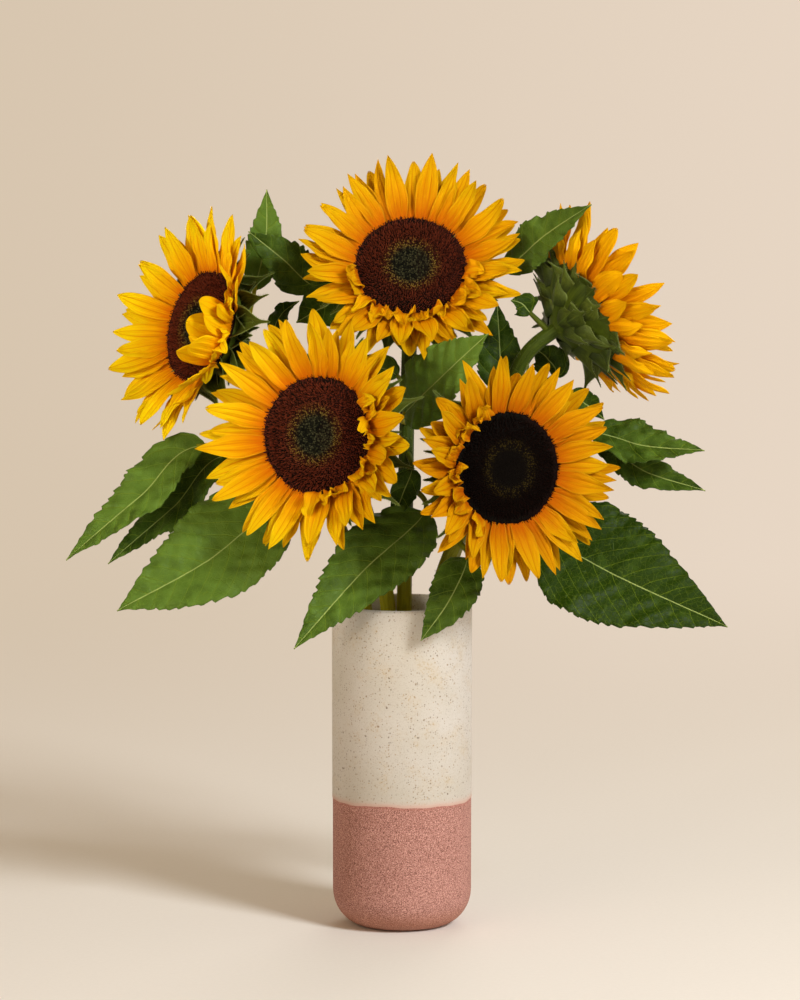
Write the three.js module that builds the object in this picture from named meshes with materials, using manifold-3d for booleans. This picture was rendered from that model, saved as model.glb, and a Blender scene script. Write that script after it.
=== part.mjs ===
// Five cut sunflowers standing in water in a two-tone stoneware vase.
// Millimetres, +Z up. The origin is the centre of the vase's flat foot, and the
// bunch's best side faces -Y.
import * as THREE from 'three';
import { mergeVertices } from 'three/addons/utils/BufferGeometryUtils.js';
import Module from 'manifold-3d';

const wasm = await Module();
wasm.setup();

// ------------------------------------------------------------ driving dimensions

const VASE = {
  radius: 50,
  height: 232,
  wall: 4.5,
  floor: 8,
  footRadius: 27,
  cornerHeight: 26,
  glazeLine: 92, // the glaze ends here, a small step above the bare clay
  glazeStep: 0.4,
  lipRound: 2.2,
  cornerSteps: 4,
  insideCorner: [[0, 12], [4, 3], [12, 0]], // in from the wall and up from the floor
  sides: 36,
  color: 0xd3c2aa,
};
const WATER = { level: 150, gap: 0.4, cornerLift: 0.2, sides: 18, color: 0xcfdcd6 };
const STEM = { radius: 5.5, sides: 7, steps: 17, foot: 9, color: 0x5a6b20 };
const HOLE = { radius: 6.5, reach: 6, steps: 6 }; // the plain holes in the water, overrun at both ends

// One flower head, measured from the centre of its disc: r is across the head's
// axis and n is along it, positive towards the face.
const HEAD = {
  neckRadius: 7,
  neckDepth: 28,
  back: [[15, -22], [30, -14.5], [38, -9], [40, -6.5], [39, -4]], // from the neck out to the rim
  sides: 12,
};
const RING = { inner: 37.6, outer: 42.5, bevel: 2, bottom: -3.7, top: 0, color: 0xe39705 };
const DISC = {
  radius: 37.2,
  bottom: -3.7,
  edgeHeight: -1.5,
  dome: 5.5,
  dip: 1.8,
  dipRadius: 12,
  relief: 1.1,
  rings: 6,
  florets: 24,
  color: 0x43200f,
};
const PETAL_LAYERS = [
  { count: 16, offset: 0, cup: 9, rootN: -2.4 },
  { count: 16, offset: 0.5, cup: 25, rootN: -1.2 },
];
const PETAL = {
  rootR: 39.2,
  length: 44.5,
  width: 19.5,
  thickness: 1.4,
  claw: 0.32, // the width at the root, as a share of the greatest
  clawEnd: 0.42,
  bend: 3.5,
  trough: 0.14,
  stations: [0, 0.34, 0.72],
};
// How far one petal differs from the next, either way.
const PETAL_SPREAD = { turn: 0.15, length: 0.09, width: 0.12, pitch: 3, bend: 9, trough: 0.16, twist: 14 };
const BRACT_ROWS = [
  { count: 6, offset: 0.25, pitch: 2, rootR: 32, rootN: -8 },
  { count: 6, offset: 0.75, pitch: -9, rootR: 28, rootN: -12 },
];
const BRACT = {
  length: 40,
  width: 23,
  thickness: 1.6,
  root: 0.6, // the width at the root, as a share of the greatest
  rootEnd: 0.3,
  bend: -8,
  trough: 0.2,
  stations: [0, 0.35, 0.7],
};
const BRACT_SPREAD = { turn: 0.15, length: 0.15, width: 0.1, pitch: 2, bend: 7 };
const LEAF = {
  thickness: 1.5,
  stalkRadius: 2,
  stalkDepth: 1.8,
  stalkShare: 1 / 3, // how much of the midrib's curve is bare stalk
  toothPitch: 17,
  toothPoint: 0.72, // where in its pitch a tooth is widest
  notch: 0.86,
  rise: 0.6,
  fall: 1.15,
  wave: 2.2,
  waveTurn: 1.1,
};

// Each flower: the centre of its disc, where it faces (azimuth 0 is -Y and 90 is +X), its
// size, its petals' own pitch, the side on which they curl up, by how much and how narrowly,
// how much shorter its bracts are on one side, its stem's path, and its leaves.
// A leaf's row is the height on its stem, its midrib's base, middle and tip, its width, the
// way its upper face looks, and the angle by which its halves rise from the midrib.
const FLOWERS = [
  {
    centre: [6.3, 5, 471],
    azimuth: 0,
    elevation: 32,
    size: 1.0,
    cup: 0,
    curl: { at: 270, by: 8, focus: 2 },
    bractTrim: { at: 90, by: 0 },
    stem: [[2, 4], [2, 2, 120], [1.5, 0, 232], [3, 12, 345], [5.5, 32, 425]],
    leaves: [
      [318, [16, -12, 298], [-28, -52, 260], [-75, -80, 210], 56, [-0.1, -0.92, 0.35], 8],
      [358, [1, -14, 367], [30, -48, 399], [59, -70, 428], 50, [-0.15, -0.9, 0.4], 8],
      [425, [72, 25, 467], [100, -7, 493], [131, -40, 516], 34, [0.1, -0.9, 0.4], 10],
      [420, [-60, 36, 453], [-84, 30, 474], [-109, 22, 495], 36, [0, -0.95, 0.3], 6],
      [408, [-36, 30, 447], [-56, 24, 441], [-75, 14, 431], 42, [0, -0.95, 0.3], 6],
      [372, [-3, 16, 392], [-21, 10, 399], [-40, 2, 391], 22, [0, -0.8, 0.6], 10],
      [340, [7, -4, 328], [1, -12, 312], [-7, -20, 291], 22, [0.2, -0.95, 0.2], 10],
    ],
  },
  {
    centre: [-59, -75, 358],
    azimuth: -25,
    elevation: 6,
    size: 1.03,
    cup: 0,
    curl: { at: 340, by: 18, focus: 2 },
    bractTrim: { at: 90, by: 0 },
    stem: [[-6, -20], [-8, -15, 120], [-10.5, -8, 232], [-30, -16, 312], [-42, -32, 347]],
    leaves: [
      [318, [-139, -8, 345], [-185, -22, 310], [-237, -30, 266], 42, [-0.4, -0.8, 0.45], 10],
      [305, [-121, 6, 337], [-163, -4, 300], [-209, -10, 261], 40, [-0.3, -0.8, 0.55], 10],
      [288, [-80, -22, 305], [-138, -45, 266], [-199, -60, 234], 76, [-0.15, -0.9, 0.4], 8],
    ],
  },
  {
    centre: [73, -75, 335],
    azimuth: 23,
    elevation: 4,
    size: 0.98,
    cup: 0,
    curl: { at: 180, by: 14, focus: 2 },
    bractTrim: { at: 90, by: 0 },
    stem: [[16, -16], [18, -14, 120], [24, -12, 232], [46, -16, 295], [57, -31, 326]],
    leaves: [
      [278, [46, -35, 268], [33, -58, 241], [13, -62, 213], 36, [0.1, -0.9, 0.4], 10],
      [292, [96, -8, 281], [155, -22, 252], [229, -40, 220], 90, [0.1, -0.9, 0.42], 8],
    ],
  },
  {
    centre: [-144, 8, 429],
    azimuth: -54,
    elevation: 16,
    size: 1.0,
    cup: 3,
    curl: { at: 343, by: 64, focus: 4 },
    bractTrim: { at: 90, by: 0 },
    stem: [[-24, 6], [-25, 7, 120], [-28, 8, 232], [-66, 18, 330], [-100, 26, 398]],
    leaves: [
      [414, [-106, 48, 452], [-98, 50, 488], [-97, 46, 524], 30, [0, -0.98, 0.15], 8],
      [382, [-92, 34, 420], [-86, 26, 436], [-74, 16, 446], 15, [0.2, -0.8, 0.6], 10],
    ],
  },
  {
    centre: [130.5, 10, 438],
    azimuth: 114,
    elevation: 25,
    size: 1.0,
    cup: 15,
    curl: { at: 0, by: 0, focus: 2 },
    bractTrim: { at: 150, by: 0.56 },
    stem: [[20, 16], [22, 14, 120], [27, 12, 232], [62, 4, 330], [83, -4, 401]],
    leaves: [
      [352, [132, -2, 354], [172, -12, 345], [213, -22, 343], 38, [0.1, -0.75, 0.65], 8],
      [340, [137, 10, 342], [176, 2, 324], [215, -8, 313], 30, [0, -0.8, 0.5], 8],
      [330, [70, 18, 379], [70, 24, 407], [68, 28, 444], 36, [0.1, -0.95, 0.2], 6],
      [424, [91, -5, 438], [85, -7, 445], [77, -8, 448], 20, [0, -0.85, 0.5], 6],
      [372, [108, 22, 392], [104, 28, 404], [94, 34, 412], 26, [0, -1, 0.1], 6],
      [362, [118, 2, 378], [130, -4, 374], [143, -10, 364], 22, [0.1, -0.8, 0.5], 8],
    ],
  },
];

// ------------------------------------------------------------ shared helpers

const DEGREE = Math.PI / 180;

// A seeded source of numbers from 0 to 1, so that every build draws the same flower.
function makeRandom(seed) {
  let state = (seed * 7919 + 12345) >>> 0;
  return () => {
    state = (Math.imul(state, 1664525) + 1013904223) >>> 0;
    return state / 4294967296;
  };
}

function vector([x, y, z]) {
  return new THREE.Vector3(x, y, z);
}

// A geometry's shared vertices merged, with the triangles that have no area left out.
function weld(geometry) {
  const bare = geometry.clone();
  bare.deleteAttribute('normal');
  bare.deleteAttribute('uv');
  const merged = mergeVertices(bare, 1e-4);
  const index = Array.from(merged.index.array);
  const kept = [];
  for (let i = 0; i < index.length; i += 3) {
    const [a, b, c] = index.slice(i, i + 3);
    if (a !== b && b !== c && c !== a) {
      kept.push(a, b, c);
    }
  }
  merged.setIndex(kept);
  return merged;
}

function toSolid(geometry) {
  const welded = weld(geometry);
  return new wasm.Manifold(
    new wasm.Mesh({
      numProp: 3,
      vertProperties: new Float32Array(welded.attributes.position.array),
      triVerts: new Uint32Array(welded.index.array),
    }),
  );
}

function toGeometry(solid) {
  const mesh = solid.getMesh();
  const geometry = new THREE.BufferGeometry();
  geometry.setAttribute('position', new THREE.BufferAttribute(mesh.vertProperties, 3));
  geometry.setIndex(new THREE.BufferAttribute(mesh.triVerts, 1));
  geometry.computeVertexNormals();
  return geometry;
}

// The pieces joined into one solid. Its largest body is kept, which fills a hollow that the
// joining seals and drops a scrap that nothing holds.
function fuse(geometries) {
  const joined = geometries.map(toSolid).reduce((whole, piece) => whole.add(piece));
  const bodies = joined.decompose();
  bodies.sort((a, b) => b.volume() - a.volume());
  return bodies[0];
}

function finishedMesh(name, geometry, color, roughness) {
  const material = new THREE.MeshStandardMaterial({ color, roughness, metalness: 0 });
  const mesh = new THREE.Mesh(geometry, material);
  mesh.name = name;
  return mesh;
}

// A lathe about +Z from a profile of [radius, height] points.
function turned(profile, sides) {
  const points = profile.map(([r, z]) => new THREE.Vector2(r, z));
  const geometry = new THREE.LatheGeometry(points, sides);
  geometry.rotateX(Math.PI / 2);
  return geometry;
}

// A thin blade with a raised midrib on both faces and sharp edges. Each station holds the
// centre, the sideways and upward directions, the half width, the edges' rise above the
// centre and the half thickness, and the blade closes on the tip point. Both faces are
// split along the same diagonals, so that they can't cross.
function bladeGeometry(stations, tip) {
  const positions = [];
  const triangles = [];
  for (const station of stations) {
    const { centre, side, up, half, riseLeft, riseRight, thick } = station;
    const left = centre.clone().addScaledVector(side, -half).addScaledVector(up, riseLeft);
    const right = centre.clone().addScaledVector(side, half).addScaledVector(up, riseRight);
    const top = centre.clone().addScaledVector(up, thick);
    const under = centre.clone().addScaledVector(up, -thick);
    for (const point of [left, top, right, under]) {
      positions.push(point.x, point.y, point.z);
    }
  }
  positions.push(tip.x, tip.y, tip.z);
  for (let i = 0; i + 1 < stations.length; i += 1) {
    const [l, t, r, u] = [0, 1, 2, 3].map((corner) => i * 4 + corner);
    const [nextL, nextT, nextR, nextU] = [l + 4, t + 4, r + 4, u + 4];
    triangles.push([nextT, nextL, l], [t, nextT, l], [nextT, t, r], [nextR, nextT, r]);
    triangles.push([nextU, u, l], [nextL, nextU, l], [nextU, nextR, r], [u, nextU, r]);
  }
  const last = (stations.length - 1) * 4;
  const end = stations.length * 4;
  triangles.push([last + 1, end, last], [end, last + 1, last + 2]);
  triangles.push([end, last + 3, last], [last + 3, end, last + 2]);
  triangles.push([2, 1, 0], [3, 2, 0]);
  const geometry = new THREE.BufferGeometry();
  geometry.setAttribute('position', new THREE.Float32BufferAttribute(positions, 3));
  geometry.setIndex(triangles.flat());
  return geometry;
}

// ------------------------------------------------------------ the vase and the water

function vaseGeometry() {
  const { radius, height, wall, floor, footRadius, cornerHeight, cornerSteps } = VASE;
  const { glazeLine, glazeStep, lipRound, insideCorner } = VASE;
  const clayRadius = radius - glazeStep;
  const inside = radius - wall;
  const profile = [[0, 0], [footRadius, 0]];
  for (let i = 1; i <= cornerSteps; i += 1) {
    const turn = (i / cornerSteps) * 90 * DEGREE;
    const r = footRadius + (clayRadius - footRadius) * Math.sin(turn);
    profile.push([r, cornerHeight * (1 - Math.cos(turn))]);
  }
  profile.push([clayRadius, glazeLine - glazeStep], [radius, glazeLine + glazeStep]);
  profile.push([radius, height - lipRound], [radius - lipRound / 3, height - lipRound / 3]);
  profile.push([radius - lipRound, height], [inside + lipRound / 2, height], [inside, height - lipRound]);
  profile.push(...insideCorner.map(([inward, up]) => [inside - inward, floor + up]), [0, floor]);
  return turned(profile, VASE.sides);
}

function waterGeometry() {
  const { wall, floor, radius, insideCorner } = VASE;
  const inside = radius - wall - WATER.gap;
  const bottom = floor + WATER.gap;
  const corner = insideCorner.map(([inward, up]) => [inside - inward, bottom + up]).reverse();
  corner[corner.length - 1][1] += WATER.cornerLift;
  return turned([[0, bottom], ...corner, [inside, WATER.level], [0, WATER.level]], WATER.sides);
}

// ------------------------------------------------------------ the stems

function headFrame(flower) {
  const azimuth = flower.azimuth * DEGREE;
  const elevation = flower.elevation * DEGREE;
  const level = Math.cos(elevation);
  const axis = vector([Math.sin(azimuth) * level, -Math.cos(azimuth) * level, Math.sin(elevation)]);
  const across = new THREE.Vector3(0, 0, 1).cross(axis).normalize();
  const upward = axis.clone().cross(across);
  const matrix = new THREE.Matrix4().makeBasis(across, upward, axis);
  matrix.scale(new THREE.Vector3(flower.size, flower.size, flower.size));
  matrix.setPosition(...flower.centre);
  return matrix;
}

function stemCurve(flower) {
  const [[footX, footY], ...rest] = flower.stem;
  const frame = headFrame(flower);
  const neck = new THREE.Vector3(0, 0, 2 - HEAD.neckDepth).applyMatrix4(frame);
  const heart = new THREE.Vector3(0, 0, -14).applyMatrix4(frame);
  const points = [vector([footX, footY, STEM.foot]), ...rest.map(vector), neck, heart];
  return new THREE.CatmullRomCurve3(points, false, 'catmullrom', 0.5);
}

function tubeGeometry(curve, radius, sides, steps) {
  const section = new THREE.Shape();
  for (let i = 0; i < sides; i += 1) {
    const turn = (i / sides) * 2 * Math.PI;
    const point = [radius * Math.cos(turn), radius * Math.sin(turn)];
    if (i === 0) {
      section.moveTo(...point);
    } else {
      section.lineTo(...point);
    }
  }
  section.closePath();
  return new THREE.ExtrudeGeometry(section, { steps, extrudePath: curve, bevelEnabled: false });
}

function stemPointAt(curve, height) {
  const samples = 400;
  for (let i = 1; i <= samples; i += 1) {
    const point = curve.getPoint(i / samples);
    if (point.z >= height) {
      return point;
    }
  }
  return curve.getPoint(1);
}

// ------------------------------------------------------------ the leaves

// Half the width of a leaf blade, as a share of its greatest, from base (0) to tip (1).
function leafOutline(along) {
  const { rise, fall } = LEAF;
  const widest = rise / (rise + fall);
  return (along / widest) ** rise * ((1 - along) / (1 - widest)) ** fall;
}

function leafGeometry(leaf, curve) {
  const [at, base, middle, tip, greatest, facing, fold] = leaf;
  const points = [stemPointAt(curve, at), vector(base), vector(middle), vector(tip)];
  const midrib = new THREE.CatmullRomCurve3(points, false, 'catmullrom', 0.5);
  const bladeStart = LEAF.stalkShare;
  const face = vector(facing).normalize();
  const length = points[1].distanceTo(points[2]) + points[2].distanceTo(points[3]);
  const teeth = Math.max(3, Math.round(length / LEAF.toothPitch));
  const outline = [[0, 0, 1], [bladeStart * 0.5, 0, 1], [bladeStart, 0, 1]];
  for (let tooth = 0; tooth < teeth; tooth += 1) {
    const point = (tooth + LEAF.toothPoint) / teeth;
    outline.push([bladeStart + (1 - bladeStart) * point, leafOutline(point), 1]);
    if (tooth + 1 < teeth) {
      const notch = (tooth + 1) / teeth;
      outline.push([bladeStart + (1 - bladeStart) * notch, leafOutline(notch), LEAF.notch]);
    }
  }
  const stations = outline.map(([along, share, cut], i) => {
    const centre = midrib.getPoint(along);
    const tangent = midrib.getTangent(along);
    const up = face.clone().addScaledVector(tangent, -face.dot(tangent)).normalize();
    const side = tangent.clone().cross(up);
    const width = Math.max(LEAF.stalkRadius, (greatest / 2) * share * cut);
    const lift = share > 0 ? width * Math.sin(fold * DEGREE) : 0;
    const wave = share > 0 ? LEAF.wave * share * Math.sin(i * LEAF.waveTurn) : 0;
    return {
      centre,
      side,
      up,
      half: share > 0 ? width * Math.cos(fold * DEGREE) : width,
      riseLeft: lift + wave,
      riseRight: lift - wave,
      thick: share > 0 ? LEAF.thickness / 2 : LEAF.stalkDepth,
    };
  });
  return bladeGeometry(stations, midrib.getPoint(1));
}

// ------------------------------------------------------------ the flower heads

// A petal's width along it, as a share of the greatest: a narrow claw, then a long oval.
function petalWidth(along) {
  const { claw, clawEnd } = PETAL;
  const opening = Math.sin((Math.min(along / clawEnd, 1) * Math.PI) / 2);
  return (claw + (1 - claw) * opening) * (1 - along ** 3) ** 0.85;
}

// A bract's width along it: broad near the root, then an even taper to a point.
function bractWidth(along) {
  const { root, rootEnd } = BRACT;
  const opening = Math.sin((Math.min(along / rootEnd, 1) * Math.PI) / 2);
  return (root + (1 - root) * opening) * 1.25 * (1 - along) ** 0.9;
}

// A blade that grows out of the head at an angle round its axis. Its pitch, out of the
// head's plane, changes evenly from `pitch` at the root to `pitch + bend` at the tip.
function radialBlade(blade, widthAt) {
  const { angle, rootR, rootN, length, width, pitch, bend, trough, twist, thickness } = blade;
  const outward = new THREE.Vector3(Math.cos(angle), Math.sin(angle), 0);
  const axis = new THREE.Vector3(0, 0, 1);
  const pitchAt = (along) => (pitch + bend * along) * DEGREE;
  const centreAt = (along) => {
    const from = pitchAt(0);
    const to = pitchAt(along);
    const scale = length / (bend * DEGREE);
    const r = rootR + scale * (Math.sin(to) - Math.sin(from));
    const n = rootN - scale * (Math.cos(to) - Math.cos(from));
    return outward.clone().multiplyScalar(r).addScaledVector(axis, n);
  };
  const stations = blade.stations.map((along) => {
    const lean = pitchAt(along);
    const level = outward.clone().cross(axis);
    const normal = outward.clone().multiplyScalar(-Math.sin(lean)).addScaledVector(axis, Math.cos(lean));
    const turn = twist * along * DEGREE;
    const side = level.clone().multiplyScalar(Math.cos(turn)).addScaledVector(normal, Math.sin(turn));
    const up = normal.clone().multiplyScalar(Math.cos(turn)).addScaledVector(level, -Math.sin(turn));
    const half = (width / 2) * widthAt(along);
    const rise = trough * half;
    const thick = thickness / 2;
    return { centre: centreAt(along), side, up, half, riseLeft: rise, riseRight: rise, thick };
  });
  return bladeGeometry(stations, centreAt(1));
}

function petalList(flower, number) {
  const random = makeRandom(number);
  const petals = [];
  for (const layer of PETAL_LAYERS) {
    for (let i = 0; i < layer.count; i += 1) {
      const draws = Array.from({ length: 7 }, () => random() * 2 - 1);
      const angle = ((i + layer.offset + PETAL_SPREAD.turn * draws[0]) / layer.count) * 360;
      const { at, by, focus } = flower.curl;
      const curl = by * Math.max(0, Math.cos((angle - at) * DEGREE)) ** focus;
      petals.push({
        angle: angle * DEGREE,
        rootR: PETAL.rootR,
        rootN: layer.rootN,
        length: PETAL.length * (1 + PETAL_SPREAD.length * draws[1]),
        width: PETAL.width * (1 + PETAL_SPREAD.width * draws[2]),
        pitch: layer.cup + flower.cup + PETAL_SPREAD.pitch * draws[3] + curl,
        bend: PETAL.bend + PETAL_SPREAD.bend * draws[4],
        trough: PETAL.trough + PETAL_SPREAD.trough * draws[5],
        twist: PETAL_SPREAD.twist * draws[6],
        thickness: PETAL.thickness,
        stations: PETAL.stations,
      });
    }
  }
  return petals;
}

function bractList(flower, number) {
  const random = makeRandom(number + 40);
  const bracts = [];
  for (const row of BRACT_ROWS) {
    for (let i = 0; i < row.count; i += 1) {
      const draws = Array.from({ length: 5 }, () => random() * 2 - 1);
      const angle = ((i + row.offset + BRACT_SPREAD.turn * draws[0]) / row.count) * 360;
      const { at, by } = flower.bractTrim;
      const trim = (by / 2) * (1 + Math.cos((angle - at) * DEGREE));
      bracts.push({
        angle: angle * DEGREE,
        rootR: row.rootR,
        rootN: row.rootN,
        length: BRACT.length * (1 + BRACT_SPREAD.length * draws[1]) * (1 - trim),
        width: BRACT.width * (1 + BRACT_SPREAD.width * draws[2]),
        pitch: row.pitch + flower.cup + BRACT_SPREAD.pitch * draws[3],
        bend: BRACT.bend + BRACT_SPREAD.bend * draws[4],
        trough: BRACT.trough,
        twist: 0,
        thickness: BRACT.thickness,
        stations: BRACT.stations,
      });
    }
  }
  return bracts;
}

function receptacleGeometry() {
  const { neckRadius, neckDepth, back, sides } = HEAD;
  const [, face] = back[back.length - 1];
  return turned([[0, -neckDepth], [neckRadius, -neckDepth], ...back, [0, face]], sides);
}

// The ring where the claws of the ray petals meet, round the disc.
function ringGeometry() {
  const { inner, outer, bevel, bottom, top } = RING;
  const outline = [[inner, bottom], [outer - bevel, bottom], [outer, top], [inner, top]];
  return turned([...outline, [inner, bottom]], DISC.florets);
}

function petalsGeometry(flower, number) {
  const petals = petalList(flower, number).map((petal) => radialBlade(petal, petalWidth));
  return toGeometry(fuse([ringGeometry(), ...petals]));
}

function discHeight(r) {
  const share = r / DISC.radius;
  const dip = DISC.dip * Math.exp(-((r / DISC.dipRadius) ** 2));
  return DISC.edgeHeight + DISC.dome * (1 - share ** 4) - dip;
}

// The disc of florets: a low dome in rings of raised points, each ring half a step round
// from the last, over a flat underside.
function discGeometry() {
  const { radius, bottom, relief, rings, florets } = DISC;
  const positions = [0, 0, discHeight(0)];
  for (let ring = 1; ring <= rings; ring += 1) {
    const r = (radius * ring) / rings;
    for (let i = 0; i < florets; i += 1) {
      const turn = ((i + ring / 2) / florets) * 2 * Math.PI;
      const raised = ring < rings && (i + ring) % 2 === 0 ? relief : 0;
      positions.push(r * Math.cos(turn), r * Math.sin(turn), discHeight(r) + raised);
    }
  }
  const rim = 1 + (rings - 1) * florets;
  for (let i = 0; i < florets; i += 1) {
    positions.push(positions[(rim + i) * 3], positions[(rim + i) * 3 + 1], bottom);
  }
  positions.push(0, 0, bottom);
  const under = 1 + rings * florets;
  const centreUnder = under + florets;
  const triangles = [];
  for (let i = 0; i < florets; i += 1) {
    const next = (i + 1) % florets;
    triangles.push(0, 1 + i, 1 + next);
    for (let ring = 1; ring < rings; ring += 1) {
      const inner = 1 + (ring - 1) * florets;
      const outer = inner + florets;
      triangles.push(inner + i, outer + i, inner + next, outer + i, outer + next, inner + next);
    }
    triangles.push(rim + i, under + i, rim + next, under + i, under + next, rim + next);
    triangles.push(centreUnder, under + next, under + i);
  }
  const geometry = new THREE.BufferGeometry();
  geometry.setAttribute('position', new THREE.Float32BufferAttribute(positions, 3));
  geometry.setIndex(triangles);
  return geometry;
}

// ------------------------------------------------------------ assembly

// The green of one sunflower: its stem, leaves and bracts, and the receptacle they end in.
function greenGeometry(flower, number) {
  const curve = stemCurve(flower);
  const frame = headFrame(flower);
  const pieces = [tubeGeometry(curve, STEM.radius, STEM.sides, STEM.steps)];
  pieces.push(receptacleGeometry().applyMatrix4(frame));
  for (const bract of bractList(flower, number)) {
    pieces.push(radialBlade(bract, bractWidth).applyMatrix4(frame));
  }
  for (const leaf of flower.leaves) {
    pieces.push(leafGeometry(leaf, curve));
  }
  return toGeometry(fuse(pieces));
}

// The water, with a plain hole for each stem.
function waterWithHoles() {
  const cutters = FLOWERS.map((flower) => {
    const curve = stemCurve(flower);
    const below = curve.getPoint(0).clone();
    below.z -= HOLE.reach;
    const path = [below];
    for (let i = 0; i <= HOLE.steps; i += 1) {
      const height = STEM.foot + ((WATER.level + HOLE.reach - STEM.foot) * i) / HOLE.steps;
      path.push(stemPointAt(curve, height));
    }
    const hole = new THREE.CatmullRomCurve3(path, false, 'catmullrom', 0.5);
    return toSolid(tubeGeometry(hole, HOLE.radius, STEM.sides, HOLE.steps));
  });
  const solid = cutters.reduce((whole, cutter) => whole.subtract(cutter), toSolid(waterGeometry()));
  return toGeometry(solid);
}

const group = new THREE.Group();
group.add(finishedMesh('vase', weld(vaseGeometry()), VASE.color, 0.6));
group.add(finishedMesh('water', waterWithHoles(), WATER.color, 0.05));
FLOWERS.forEach((flower, i) => {
  const number = i + 1;
  group.add(finishedMesh(`stem_${number}`, greenGeometry(flower, number), STEM.color, 0.65));
  const head = new THREE.Group();
  head.add(finishedMesh(`petals_${number}`, petalsGeometry(flower, number), RING.color, 0.6));
  head.add(finishedMesh(`disc_${number}`, weld(discGeometry()), DISC.color, 0.9));
  headFrame(flower).decompose(head.position, head.quaternion, head.scale);
  group.add(head);
});

export default group;
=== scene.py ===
# Five cut sunflowers standing in water in a two-tone stoneware vase.
# Sizes and places are in millimetres, +Z up, and become metres as each mesh is made.
import math

import bpy
import numpy as np
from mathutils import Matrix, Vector


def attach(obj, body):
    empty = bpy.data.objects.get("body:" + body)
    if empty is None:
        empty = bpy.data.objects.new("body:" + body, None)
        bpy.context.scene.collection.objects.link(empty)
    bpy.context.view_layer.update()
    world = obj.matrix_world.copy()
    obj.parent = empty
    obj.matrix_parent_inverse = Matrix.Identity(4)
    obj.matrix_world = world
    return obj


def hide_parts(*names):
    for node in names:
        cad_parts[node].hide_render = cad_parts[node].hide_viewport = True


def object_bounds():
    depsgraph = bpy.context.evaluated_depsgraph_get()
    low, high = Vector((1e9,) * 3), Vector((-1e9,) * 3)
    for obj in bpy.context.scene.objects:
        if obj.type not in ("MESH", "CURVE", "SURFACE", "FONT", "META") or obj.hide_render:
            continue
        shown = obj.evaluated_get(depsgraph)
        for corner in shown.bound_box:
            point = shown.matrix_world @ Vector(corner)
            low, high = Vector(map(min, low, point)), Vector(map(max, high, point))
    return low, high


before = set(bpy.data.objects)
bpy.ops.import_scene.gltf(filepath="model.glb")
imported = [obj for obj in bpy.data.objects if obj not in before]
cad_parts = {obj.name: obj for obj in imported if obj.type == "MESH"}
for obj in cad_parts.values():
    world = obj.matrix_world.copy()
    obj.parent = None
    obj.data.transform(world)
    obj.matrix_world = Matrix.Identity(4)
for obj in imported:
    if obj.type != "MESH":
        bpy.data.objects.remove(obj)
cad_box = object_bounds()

MM = 0.001
TURN = 2 * math.pi

# ------------------------------------------------------------ the camera

CAMERA = {"place": (-1.45, -2800.0, 600.0), "pitch": 6.01, "lens": 142.56, "sensor": 36.0}


def link(thing):
    bpy.context.scene.collection.objects.link(thing)
    return thing


def make_camera():
    data = bpy.data.cameras.new("camera")
    data.sensor_fit = "VERTICAL"
    data.sensor_height = CAMERA["sensor"]
    data.lens = CAMERA["lens"]
    camera = link(bpy.data.objects.new("camera", data))
    camera.location = [value * MM for value in CAMERA["place"]]
    camera.rotation_euler = (math.radians(90 - CAMERA["pitch"]), 0, 0)
    bpy.context.scene.camera = camera


make_camera()

# ------------------------------------------------------------ driving dimensions

VASE = {
    "radius": 50.0,
    "height": 232.0,
    "wall": 4.5,
    "floor": 8.0,
    "foot_radius": 27.0,
    "corner_height": 26.0,
    "glaze_line": 92.0,
    "glaze_step": 0.4,
    "glaze_wander": 5.0,
    "lip_round": 2.2,
    "sides": 160,
}
# The glaze's edge: how far out and up each point of it is, and how glazed.
GLAZE_EDGE = (
    (-0.4, -2.5, 0.0), (-0.35, -1.0, 0.2), (-0.2, 0.0, 0.35),
    (-0.05, 0.6, 0.5), (0, 2.4, 0.72), (0, 7, 1),
)
# The round corner inside: in from the wall and up from the floor.
INSIDE_CORNER = ((0, 12), (0.4, 9), (4, 3), (12, 0))
STEM = {
    "radius": 5.5,
    "foot": 9.0,
    "ribs": (9, 0.22),
    "hairs": 900,
    "samples": 400,
    "points": 110,
    "sides": 36,
}

# One flower head, measured from the centre of its disc: r is across the head's axis and
# n is along it, positive towards the face.
HEAD = {
    "neck_radius": 7.0,
    "neck_depth": 28.0,
    "back_depth": 4.0,
    "dish_radius": 40.0,
    "sides": 48,
}
DISC = {
    "radius": 37.2,
    "bottom": -3.7,
    "edge_height": -1.5,
    "dome": 5.5,
    "dip": 1.8,
    "dip_radius": 12.0,
    "florets": 3500,
    "rings": 26,
    "sides": 72,
}
PETAL_LAYERS = [
    {"count": 16, "offset": 0.0, "cup": 9.0, "root_n": -2.4},
    {"count": 16, "offset": 0.5, "cup": 25.0, "root_n": -1.2},
]
# A petal's folds and its fine threads are so many waves from its middle to its edge.
PETAL = {
    "root_r": 39.2,
    "length": 44.5,
    "width": 15.8,
    "thickness": 0.55,
    "crumple": 0.2,
    "folds": (1.5, 1.9),
    "threads": 5.5,
}
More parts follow.
